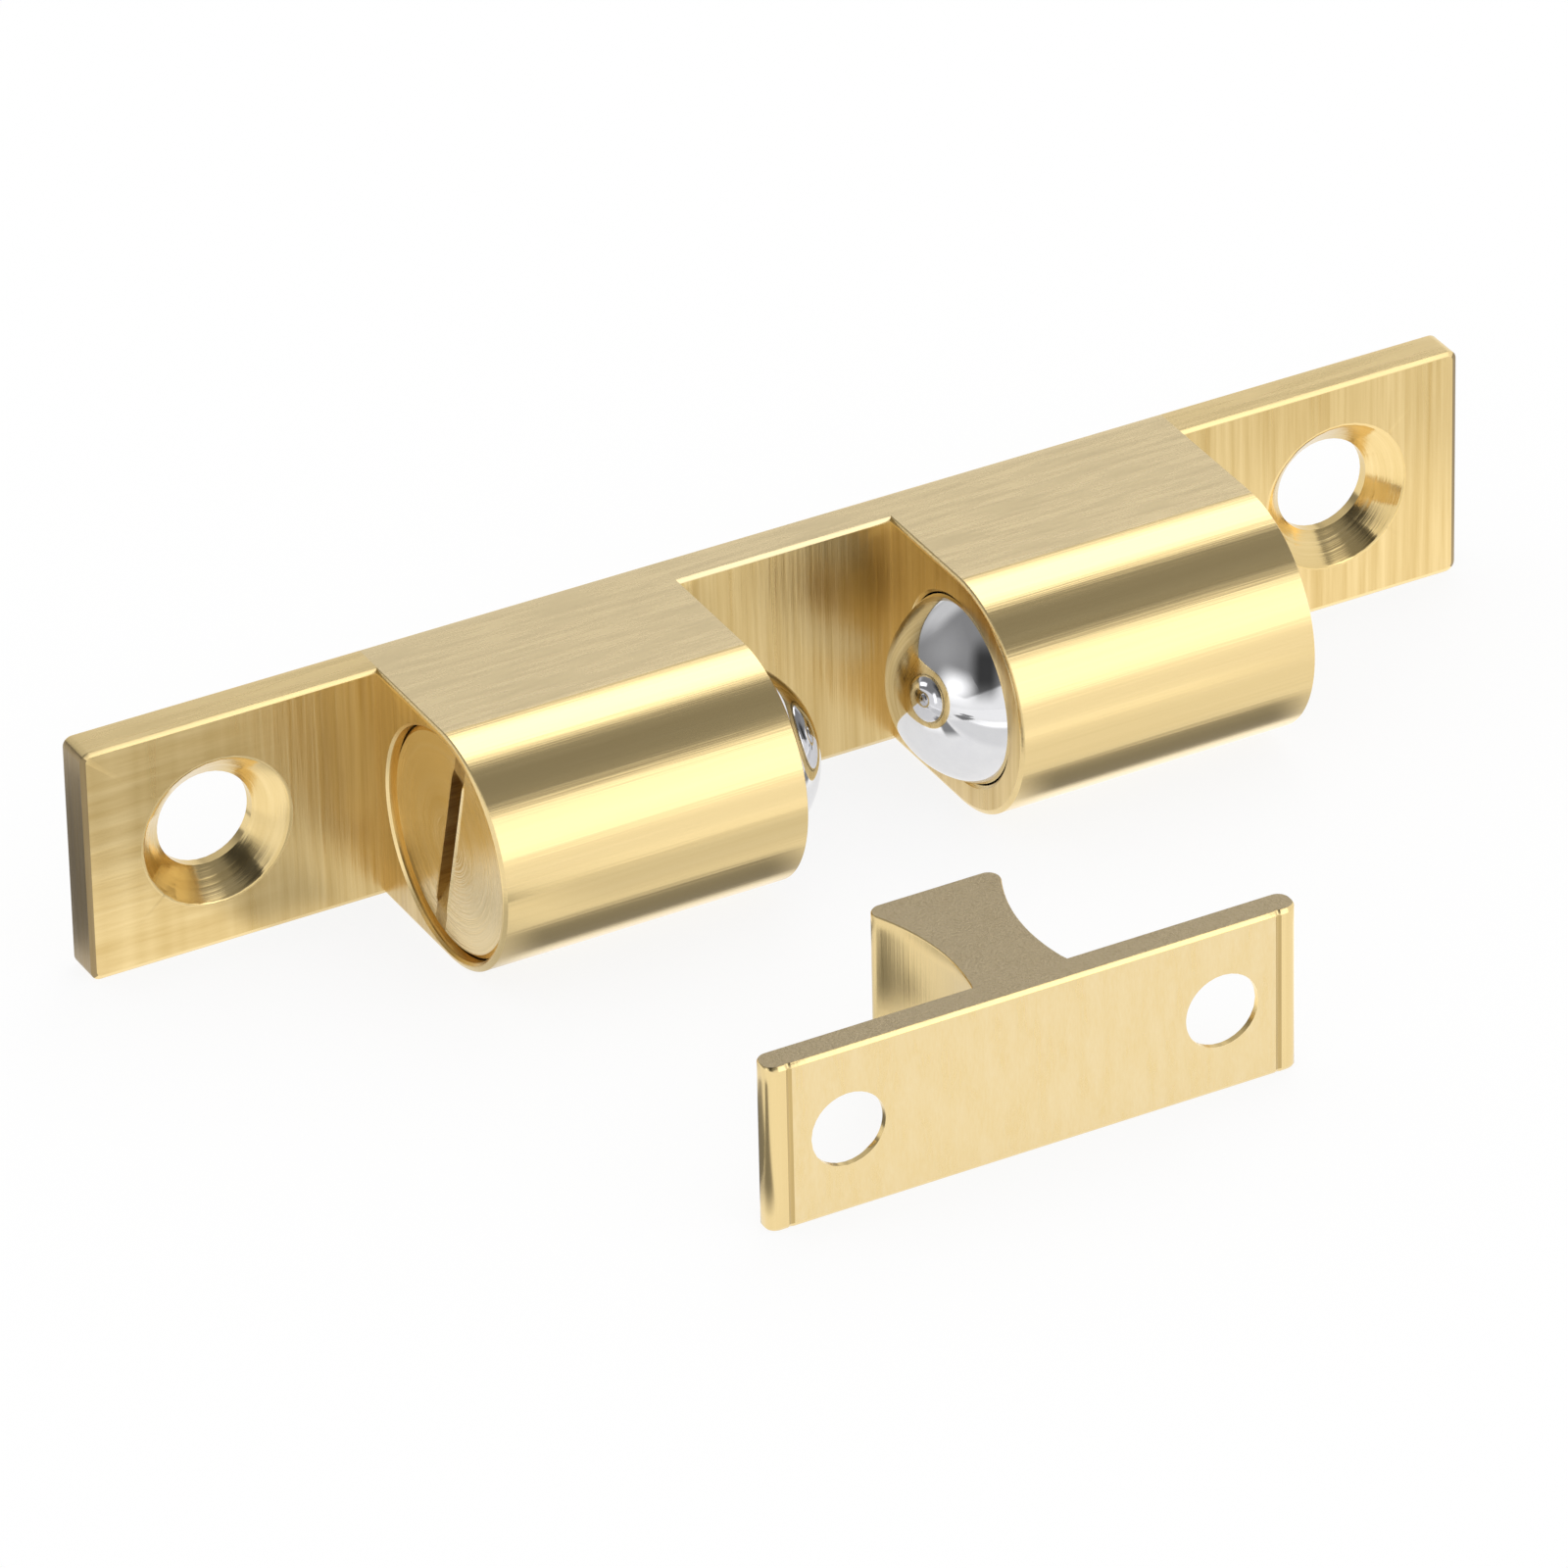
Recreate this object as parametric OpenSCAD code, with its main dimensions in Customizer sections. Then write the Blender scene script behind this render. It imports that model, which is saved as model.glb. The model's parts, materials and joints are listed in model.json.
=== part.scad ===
// Double ball catch: a brass case with two spring-loaded balls that face each other across a gap,
// and the strike whose waisted prong snaps in between them.
// X runs along the case, Y from the barrels' noses to the mounting face at y = 0, Z is up.
// All sizes are in millimetres.

/* [Balls] */
// Diameter of each ball
ball_diameter = 8; // [7.6:0.1:9]
// How far a free ball stands out of its barrel into the gap
ball_protrusion = 2.65; // [2.3:0.05:2.9]
// Running clearance around a ball in its bore, on the radius
ball_clearance = 0.05; // [0.02:0.01:0.1]
// Width of the bevel around the lip that holds the ball in
lip_bevel = 0.1; // [0.05:0.01:0.15]

/* [Case] */
// Length of one barrel
barrel_length = 13; // [12.5:0.25:18]
// Clear distance between the two barrels
gap_length = 9.2; // [8.6:0.2:12]
// Length of each end lug, from the barrel to the end of the case
lug_length = 12.4; // [11:0.2:18]
// Thickness of the back plate
plate_thickness = 1.6; // [1.4:0.1:2]
// Height of the ball axis above the mounting face
axis_height = 6.8; // [6.6:0.1:8.5]
// Wall left around the adjusting screw's bore
barrel_wall = 0.35; // [0.3:0.05:1]
// Rounding of the plate's four corners
plate_corner_radius = 0.4; // [0.2:0.1:1.5]
// Small chamfer that breaks the sharp edges of the case
edge_break = 0.1; // [0.05:0.01:0.15]

/* [Case screw holes] */
// Distance of a hole's centre from the end of the case
hole_edge_distance = 5.5; // [4:0.1:6.5]
// Diameter of the hole's throat
hole_diameter = 4; // [3:0.1:4.4]
// Diameter of the countersink at the front face
countersink_diameter = 6.2; // [5.6:0.1:6.6]

/* [Adjusting screws] */
// Step from the ball's bore out to the screw's bore, on the radius
bore_step = 0.6; // [0.3:0.05:1]
// Running clearance around the screw, on the radius
screw_clearance = 0.05; // [0.02:0.01:0.1]
// Length of the screw
screw_length = 2.6; // [2:0.1:3]
// How far the screw sits below the barrel's outer end
screw_recess = 0.3; // [0.15:0.05:0.6]
// How far the screw can still be turned in
screw_feed = 0.75; // [0.5:0.05:1]
// Clear bore left beyond the screw when it is fully in
bore_run_out = 0.35; // [0.2:0.05:1]
// Chamfer on both ends of the screw
screw_chamfer = 0.2; // [0.1:0.05:0.3]
// Width of the driver slot
slot_width = 0.8; // [0.5:0.05:1.2]
// Depth of the driver slot at its middle
slot_depth = 0.9; // [0.5:0.05:1.3]
// Length of the driver slot where it leaves the screw's face
slot_length = 7; // [5:0.1:8]
// Lean of the left slot from upright, in degrees
left_slot_angle = 15; // [-90:1:90]
// Lean of the right slot from upright, in degrees
right_slot_angle = -35; // [-90:1:90]

/* [Springs] */
// Diameter of the spring wire
spring_wire = 0.55; // [0.4:0.05:0.6]
// Number of turns, the closer end turns included
spring_turns = 4; // [3:0.5:4.5]
// Clearance between the spring and the ball's bore, on the radius
spring_side_clearance = 0.875; // [0.6:0.025:1.2]
// Clearance between the spring's ends and the ball or the screw
spring_end_gap = 0.05; // [0.02:0.01:0.1]
// How much closer the end turns lie than the middle ones, from 0 to 1
spring_end_closing = 0.7; // [0.3:0.05:0.75]

/* [Strike] */
// Length of the strike's plate
strike_length = 22.4; // [21:0.2:30]
// Height of the strike, cut from its extrusion
strike_height = 7.1; // [6:0.1:10]
// Thickness of the strike's plate
strike_thickness = 1.2; // [1:0.1:1.6]
// Rounding of the plate's ends
strike_end_radius = 0.5; // [0.2:0.05:0.5]
// Bevel along the plate's two long mounting edges
strike_bevel = 0.2; // [0.1:0.05:0.3]
// Distance of a hole's centre from the end of the plate
strike_hole_edge = 3.3; // [2.8:0.1:4.5]
// Diameter of the strike's screw holes
strike_hole_diameter = 3.1; // [2.5:0.1:3.4]
// Straight land left in the strike's holes at the mounting face
strike_hole_land = 0.25; // [0.2:0.05:0.5]

/* [Prong] */
// How far the prong's head is wider than the free gap between the balls, on each side
head_grip = 0.76; // [0.3:0.02:1]
// How far the prong's waist is narrower than the free gap between the balls, on each side
waist_clearance = 0.2; // [0.05:0.05:0.4]
// How far the prong's end reaches past the ball axis when the catch is shut
head_past_axis = 1.75; // [1.5:0.05:2.5]
// Distance of the waist from the plate
waist_position = 2.1; // [1.5:0.1:2.6]
// Rounding of the head's two corners
head_corner_radius = 0.5; // [0.3:0.05:0.8]

/* [Place of the strike] */
// Offset of the strike along the case, from the middle of the gap
strike_offset = -5; // [-12:0.1:12]
// Distance of the strike's mounting face from the case's mounting face
strike_distance = 29.7; // [27:0.1:45]

/* [Hidden] */
$fn = 96;
overcut = 1;
ball_radius = ball_diameter / 2;
ball_bore_radius = ball_radius + ball_clearance;
screw_bore_radius = ball_bore_radius + bore_step;
case_width = 2 * (screw_bore_radius + barrel_wall);
nose_radius = case_width / 2;
barrel_inner = gap_length / 2;
barrel_outer = barrel_inner + barrel_length;
case_half_length = barrel_outer + lug_length;
hole_position = case_half_length - hole_edge_distance;
countersink_depth = (countersink_diameter - hole_diameter) / 2;

// Distances along a barrel, from its outer end
ball_center = barrel_length + ball_protrusion - ball_radius;
lip_radius = sqrt(pow(ball_bore_radius, 2) - pow(barrel_length - ball_center, 2));
screw_inner = screw_recess + screw_length;
screw_bore_depth = screw_inner + screw_feed + bore_run_out;
screw_radius = screw_bore_radius - screw_clearance;
saw_radius = (pow(slot_length / 2, 2) + pow(slot_depth, 2)) / (2 * slot_depth);

// Spring: a wire carried along a helix, from the screw to the back of the ball
wire_radius = spring_wire / 2;
coil_radius = ball_bore_radius - spring_side_clearance - wire_radius;
ball_touch = ball_radius + wire_radius + spring_end_gap;
spring_start = screw_inner + wire_radius + spring_end_gap;
spring_end = ball_center - sqrt(pow(ball_touch, 2) - pow(coil_radius, 2));
spring_span = spring_end - spring_start;
steps_per_turn = 24;
wire_sides = 8;
spring_steps = round(steps_per_turn * spring_turns);
turn_angle = 360 * spring_turns;

// Prong: half widths of head and waist, and the flank arc that runs into both
ball_gap = gap_length - 2 * ball_protrusion;
head_half = ball_gap / 2 + head_grip;
waist_half = ball_gap / 2 - waist_clearance;
prong_end = strike_thickness + nose_radius + head_past_axis;
waist_y = strike_thickness + waist_position;
corner_x = head_half - head_corner_radius;
corner_y = prong_end - head_corner_radius;
head_rise = corner_y - waist_y;
flank_radius = (pow(head_rise, 2) + pow(corner_x - waist_half, 2) - pow(head_corner_radius, 2))
    / (2 * (head_half - waist_half));
flank_x = waist_half + flank_radius;
tangent_share = head_corner_radius / (flank_radius + head_corner_radius);
tangent_x = corner_x + (flank_x - corner_x) * tangent_share;
tangent_y = corner_y - head_rise * tangent_share;
strike_hole_position = strike_length / 2 - strike_hole_edge;
strike_sink_depth = strike_thickness - strike_hole_land;

// Rectangle with rounded corners, centred
module rounded_rectangle(length, width, radius) {
    square([length - 2 * radius, width], center = true);
    square([length, width - 2 * radius], center = true);
    for (sx = [-1, 1], sy = [-1, 1])
        translate([sx * (length / 2 - radius), sy * (width / 2 - radius)])
            circle(r = radius);
}

// Places what is drawn along +X from the outer end of a barrel; side is -1 for left, 1 for right
module along_barrel(side) {
    translate([side * barrel_outer, -axis_height, 0])
        rotate([0, 0, side > 0 ? 180 : 0])
            children();
}

// Back plate with rounded corners
module plate() {
    rotate([90, 0, 0])
        linear_extrude(height = plate_thickness)
            rounded_rectangle(2 * case_half_length, case_width, plate_corner_radius);
}

// Barrel: a round nose that runs into two flats, chamfered at both ends
module barrel(side) {
    wall_height = axis_height - plate_thickness / 2;
    chamfered_length = barrel_length - edge_break;
    chamfered_radius = nose_radius - edge_break;
    along_barrel(side)
        rotate([0, 90, 0])
            rotate_extrude()
                polygon([
                    [0, 0],
                    [chamfered_radius, 0],
                    [nose_radius, edge_break],
                    [nose_radius, chamfered_length],
                    [chamfered_radius, barrel_length],
                    [0, barrel_length]
                ]);
    translate([side * (barrel_inner + barrel_length / 2), -plate_thickness / 2, 0])
        rotate([90, 0, 0])
            linear_extrude(height = wall_height)
                polygon([
                    [-barrel_length / 2, -chamfered_radius],
                    [-barrel_length / 2 + edge_break, -nose_radius],
                    [barrel_length / 2 - edge_break, -nose_radius],
                    [barrel_length / 2, -chamfered_radius],
                    [barrel_length / 2, chamfered_radius],
                    [barrel_length / 2 - edge_break, nose_radius],
                    [-barrel_length / 2 + edge_break, nose_radius],
                    [-barrel_length / 2, chamfered_radius]
                ]);
}

// Stepped bore: mouth chamfer, screw bore, ball bore, and the round seat that traps the ball
module barrel_bore(side) {
    along_barrel(side)
        rotate([0, 90, 0]) {
            translate([0, 0, -overcut])
                cylinder(h = screw_bore_depth + overcut, r = screw_bore_radius);
            translate([0, 0, -edge_break])
                cylinder(
                    h = 2 * edge_break,
                    r1 = screw_bore_radius + 2 * edge_break,
                    r2 = screw_bore_radius
                );
            cylinder(h = ball_center, r = ball_bore_radius);
            translate([0, 0, ball_center])
                sphere(r = ball_bore_radius);
            translate([0, 0, barrel_length - lip_bevel])
                cylinder(h = 2 * lip_bevel, r1 = lip_radius, r2 = lip_radius + 2 * lip_bevel);
        }
}

// Countersunk screw hole through a lug
module case_hole(side) {
    translate([side * hole_position, overcut, 0])
        rotate([90, 0, 0])
            cylinder(h = plate_thickness + 2 * overcut, d = hole_diameter);
    translate([side * hole_position, countersink_depth - plate_thickness, 0])
        rotate([90, 0, 0])
            cylinder(
                h = 2 * countersink_depth,
                d1 = hole_diameter,
                d2 = hole_diameter + 4 * countersink_depth
            );
}

// Chamfer along the plate's front edges, from one place along the case to another
module front_edge_cut(from_x, to_x) {
    for (sz = [-1, 1])
        translate([(from_x + to_x) / 2, -plate_thickness, sz * nose_radius])
            rotate([45, 0, 0])
                cube([to_x - from_x, edge_break * sqrt(2), edge_break * sqrt(2)], center = true);
}

// Case: plate and two barrels in one piece, milled and bored
module case() {
    color([0.83, 0.67, 0.33])
        difference() {
            union() {
                plate();
                barrel(-1);
                barrel(1);
            }
            barrel_bore(-1);
            barrel_bore(1);
            case_hole(-1);
            case_hole(1);
            front_edge_cut(-case_half_length - overcut, -barrel_outer);
            front_edge_cut(-barrel_inner, barrel_inner);
            front_edge_cut(barrel_outer, case_half_length + overcut);
        }
}

// Ball, held by the lip at the inner end of its barrel
module ball(side) {
    color([0.8, 0.81, 0.83])
        along_barrel(side)
            translate([ball_center, 0, 0])
                sphere(d = ball_diameter);
}

module left_ball() {
    ball(-1);
}

module right_ball() {
    ball(1);
}

// Place of the wire's middle along the barrel, after a share u of all turns
function wire_x(u) = spring_start
    + spring_span * (u - spring_end_closing * sin(360 * u) / (2 * PI));

// How fast the wire climbs along the barrel, per radian of turn
function wire_climb(u) = spring_span * (1 - spring_end_closing * cos(360 * u)) / (turn_angle * PI / 180);

// Point on the wire's skin: u along the wire, angle a around it
function wire_point(u, a) = let (
        turn = turn_angle * u,
        tilt = atan2(wire_climb(u), coil_radius),
        out = coil_radius + wire_radius * cos(a),
        side = wire_radius * sin(a)
    )
    [
        wire_x(u) + side * cos(tilt),
        out * cos(turn) + side * sin(tilt) * sin(turn),
        out * sin(turn) - side * sin(tilt) * cos(turn)
    ];

// Spring: rings of points along the helix, joined ring to ring and closed at both ends
module spring(side) {
    skin = [
        for (i = [0 : spring_steps], j = [0 : wire_sides - 1])
            wire_point(i / spring_steps, 360 * j / wire_sides)
    ];
    lower = [
        for (i = [0 : spring_steps - 1], j = [0 : wire_sides - 1])
            [
                i * wire_sides + j,
                i * wire_sides + (j + 1) % wire_sides,
                (i + 1) * wire_sides + (j + 1) % wire_sides
            ]
    ];
    upper = [
        for (i = [0 : spring_steps - 1], j = [0 : wire_sides - 1])
            [
                i * wire_sides + j,
                (i + 1) * wire_sides + (j + 1) % wire_sides,
                (i + 1) * wire_sides + j
            ]
    ];
    first_end = [[for (j = [wire_sides - 1 : -1 : 0]) j]];
    last_end = [[for (j = [0 : wire_sides - 1]) spring_steps * wire_sides + j]];
    color([0.62, 0.63, 0.65])
        along_barrel(side)
            polyhedron(points = skin, faces = concat(lower, upper, first_end, last_end));
}

module left_spring() {
    spring(-1);
}

module right_spring() {
    spring(1);
}

// Slotted headless screw; the slot is left by a round saw, so its floor is curved
module adjusting_screw(side, slot_angle) {
    color([0.80, 0.64, 0.31])
        along_barrel(side)
            difference() {
                translate([screw_recess, 0, 0])
                    rotate([0, 90, 0])
                        rotate_extrude()
                            polygon([
                                [0, 0],
                                [screw_radius - screw_chamfer, 0],
                                [screw_radius, screw_chamfer],
                                [screw_radius, screw_length - screw_chamfer],
                                [screw_radius - screw_chamfer, screw_length],
                                [0, screw_length]
                            ]);
                rotate([slot_angle, 0, 0])
                    translate([screw_recess + slot_depth - saw_radius, 0, 0])
                        rotate([90, 0, 0])
                            cylinder(h = slot_width, r = saw_radius, center = true);
            }
}

module left_adjusting_screw() {
    adjusting_screw(-1, left_slot_angle);
}

module right_adjusting_screw() {
    adjusting_screw(1, right_slot_angle);
}

// Section of the strike: plate with rounded ends and a prong that narrows to a waist
module strike_section() {
    translate([0, strike_thickness / 2])
        rounded_rectangle(strike_length, strike_thickness, strike_end_radius);
    difference() {
        translate([-tangent_x, strike_thickness / 2])
            square([2 * tangent_x, tangent_y - strike_thickness / 2]);
        for (sx = [-1, 1])
            translate([sx * flank_x, waist_y])
                circle(r = flank_radius);
    }
    translate([-corner_x, tangent_y])
        square([2 * corner_x, prong_end - tangent_y]);
    for (sx = [-1, 1])
        translate([sx * corner_x, corner_y])
            circle(r = head_corner_radius);
}

// Hole through the strike's plate, countersunk from the prong's side
module strike_hole(side) {
    translate([side * strike_hole_position, strike_thickness + overcut, strike_height / 2])
        rotate([90, 0, 0])
            cylinder(h = strike_thickness + 2 * overcut, d = strike_hole_diameter);
    translate([side * strike_hole_position, strike_hole_land, strike_height / 2])
        rotate([-90, 0, 0])
            cylinder(
                h = 2 * strike_sink_depth,
                d1 = strike_hole_diameter,
                d2 = strike_hole_diameter + 4 * strike_sink_depth
            );
}

// Strike: one piece cut from a T-section extrusion
module strike() {
    color([0.85, 0.70, 0.40])
        translate([strike_offset, -strike_distance, -nose_radius])
            difference() {
                linear_extrude(height = strike_height)
                    strike_section();
                strike_hole(-1);
                strike_hole(1);
                for (z = [0, strike_height])
                    translate([0, 0, z])
                        rotate([45, 0, 0])
                            cube(
                                [strike_length + overcut, strike_bevel * sqrt(2), strike_bevel * sqrt(2)],
                                center = true
                            );
            }
}

case();
left_ball();
right_ball();
left_spring();
right_spring();
left_adjusting_screw();
right_adjusting_screw();
strike();
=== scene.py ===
"""Looks of a double ball catch: brass case, chromed balls, springs, adjusting screws and strike.

Every piece is a surface worked out with numpy in millimetres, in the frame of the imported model: X runs along
the case, Y from the barrels' noses to the mounting face at y = 0, Z is up.
"""

import functools
import json
import logging
import math
from dataclasses import dataclass
from enum import Enum
from typing import ClassVar, Optional, Sequence, Union

import bmesh
import bpy
import numpy as np
from mathutils import Matrix, Vector


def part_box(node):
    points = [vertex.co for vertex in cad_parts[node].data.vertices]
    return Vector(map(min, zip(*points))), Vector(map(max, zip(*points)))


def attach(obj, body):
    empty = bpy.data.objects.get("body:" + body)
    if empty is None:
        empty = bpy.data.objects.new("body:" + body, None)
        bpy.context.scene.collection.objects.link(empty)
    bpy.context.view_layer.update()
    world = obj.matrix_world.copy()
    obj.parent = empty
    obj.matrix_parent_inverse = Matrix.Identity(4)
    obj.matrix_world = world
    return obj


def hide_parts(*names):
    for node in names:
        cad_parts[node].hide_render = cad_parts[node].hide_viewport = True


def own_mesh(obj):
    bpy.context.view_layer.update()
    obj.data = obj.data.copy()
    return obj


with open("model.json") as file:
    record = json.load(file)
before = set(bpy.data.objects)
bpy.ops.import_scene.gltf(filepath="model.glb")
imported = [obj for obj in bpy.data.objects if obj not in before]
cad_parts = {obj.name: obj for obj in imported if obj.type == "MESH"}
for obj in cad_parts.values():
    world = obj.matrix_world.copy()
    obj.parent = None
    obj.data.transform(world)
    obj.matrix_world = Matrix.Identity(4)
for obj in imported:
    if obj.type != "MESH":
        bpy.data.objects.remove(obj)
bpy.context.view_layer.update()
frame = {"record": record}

log = logging.getLogger("ball_catch")

Array = np.ndarray
Color = tuple[float, float, float]
Point = tuple[float, float, float]
Socket = bpy.types.NodeSocket
Inputs = dict[Union[str, int], object]

MM = 0.001
WELD_DISTANCE = 2e-6
THINNEST_FACE = 0.5e-6
SHARP_ANGLE = math.radians(38)
EDGE_SHAPE = 1.7
LEFT, RIGHT = -1, 1
SIDE_NAMES = {LEFT: "left", RIGHT: "right"}


def box_mm(node: str) -> tuple[Array, Array]:
    """Gives a CAD node's lowest and highest corner in millimetres."""
    low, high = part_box(node)
    return np.array(low) / MM, np.array(high) / MM


def mount_dims(name: str) -> dict[str, float]:
    """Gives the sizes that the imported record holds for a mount, in millimetres."""
    return next(mount["dims"] for mount in frame["record"]["mounts"] if mount["name"] == name)


class Lay(Enum):
    """Which way the fine lines of a finish run."""

    ALONG_X = "along the case"
    ALONG_Z = "upright"
    RINGS_ABOUT_X = "rings about the barrels' axis"
    RINGS_ABOUT_Y = "rings about the screw holes"
    GRIT = "no direction"


@dataclass(frozen=True)
class Streaks:
    """Coarse streaks along the case, in millimetres: full before one place along X, gone after the next."""

    full_before: float
    gone_after: float
    width: float
    length: float


@dataclass(frozen=True)
class Finish:
    """One worked metal surface.

    Sizes are in millimetres. Rings are centred at origin, and a spacing puts one centre on each side of it
    along X. Streaks may cover one end of the piece.
    """

    name: str
    light: Color
    dark: Color
    roughness: tuple[float, float]
    lay: Lay
    line_width: float
    line_length: float
    line_depth: float
    origin: Point = (0.0, 0.0, 0.0)
    spacing: float = 0.0
    streaks: Optional[Streaks] = None


BRASS_LIGHT: Color = (0.87, 0.68, 0.345)
BRASS_MID: Color = (0.81, 0.62, 0.30)
BRASS_DEEP: Color = (0.70, 0.51, 0.21)
BRASS_PALE: Color = (0.86, 0.70, 0.41)
BRASS_SATIN: Color = (0.81, 0.655, 0.385)
BRASS_BROWN: Color = (0.58, 0.40, 0.145)
# Painted shade: the dark tone of the strike's groove beside each rounded end.
BRASS_PAINTED_GROOVE_SHADE: Color = (0.40, 0.29, 0.13)
SAWN_LIGHT: Color = (0.54, 0.445, 0.285)
SAWN_DARK: Color = (0.42, 0.335, 0.20)
SAWN_END_LIGHT: Color = (0.37, 0.28, 0.15)
SAWN_END_DARK: Color = (0.27, 0.195, 0.095)
CHROME_LIGHT: Color = (0.82, 0.82, 0.83)
CHROME_DARK: Color = (0.76, 0.76, 0.78)
# Painted shade: the dark tone of the screw slot, darkening in the recess.
SLOT_PAINTED_SHADE: Color = (0.34, 0.21, 0.07)
WIRE_LIGHT: Color = (0.56, 0.57, 0.58)
WIRE_DARK: Color = (0.42, 0.42, 0.43)


class ShaderTree:
    """Adds the nodes of one node tree and joins them."""

    def __init__(self, tree: bpy.types.NodeTree) -> None:
        """Keeps the tree."""
        self.tree = tree

    def fill(self, node: bpy.types.Node, inputs: Inputs) -> None:
        """Sets inputs of a node to values, or joins them to other nodes.

        Args:
            node: The node.
            inputs: A value or another node's socket for each input, by name or number.
        """
        for key, value in inputs.items():
            if isinstance(value, Socket):
                self.tree.links.new(value, node.inputs[key])
            else:
                node.inputs[key].default_value = value

    def node(self, kind: str, inputs: Optional[Inputs] = None, **settings: object) -> bpy.types.Node:
        """Adds a node.

        Args:
            kind: Blender's name of the node's type.
            inputs: A value or another node's socket for each input, by name or number.
            settings: Properties of the node and their values.

        Returns:
            The new node.
        """
        made = self.tree.nodes.new(kind)
        for name, value in settings.items():
            setattr(made, name, value)
        self.fill(made, inputs or {})
        return made

    def math(self, operation: str, *terms: Union[float, Socket], clamp: bool = True) -> Socket:
        """Joins two or three values by one operation and gives the result's socket."""
        made = self.node("ShaderNodeMath", dict(enumerate(terms)), operation=operation, use_clamp=clamp)
        return made.outputs["Value"]

    def end(self, kind: str, share: Socket, first: Socket, second: Socket) -> None:
        """Mixes two shaders by a share and sends them to an output node of that kind."""
        mixed = self.node("ShaderNodeMixShader", {"Fac": share, 1: first, 2: second})
        self.node(kind, {"Surface": mixed.outputs["Shader"]})


@dataclass(frozen=True)
class GrainLayer:
    """One noise of the grain: its scale and detail, and the range of it that is stretched to 0 to 1."""

    scale: float
    detail: float
    low: float
    high: float


class Grain:
    """Shader node group that makes the fine lines, clouds and nicks of worked metal."""

    NAME = "metal_grain"
    NOISE_ROUGHNESS = 0.6
    LAYERS = {
        "Lines": GrainLayer(scale=1.0, detail=4.0, low=0.30, high=0.70),
        "Clouds": GrainLayer(scale=0.16, detail=2.0, low=0.32, high=0.68),
        "Nicks": GrainLayer(scale=0.7, detail=1.0, low=0.74, high=0.88),
    }

    def build(self) -> bpy.types.NodeTree:
        """Makes the group once: one input vector, in line widths and lengths, and three values from 0 to 1.

        Returns:
            The node group, with outputs Lines, Clouds and Nicks.
        """
        made = bpy.data.node_groups.get(self.NAME)
        if made:
            return made
        tree = bpy.data.node_groups.new(self.NAME, "ShaderNodeTree")
        tree.interface.new_socket("Vector", in_out="INPUT", socket_type="NodeSocketVector")
        for label in self.LAYERS:
            tree.interface.new_socket(label, in_out="OUTPUT", socket_type="NodeSocketFloat")
        nodes = ShaderTree(tree)
        entry = nodes.node("NodeGroupInput")
        leave = nodes.node("NodeGroupOutput")
        for label, layer in self.LAYERS.items():
            noise = nodes.node("ShaderNodeTexNoise", {
                "Vector": entry.outputs["Vector"],
                "Scale": layer.scale,
                "Detail": layer.detail,
                "Roughness": self.NOISE_ROUGHNESS,
            })
            stretch = nodes.node("ShaderNodeMapRange", {
                "Value": noise.outputs["Fac"],
                "From Min": layer.low,
                "From Max": layer.high,
            })
            nodes.fill(leave, {label: stretch.outputs["Result"]})
        return tree


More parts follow.
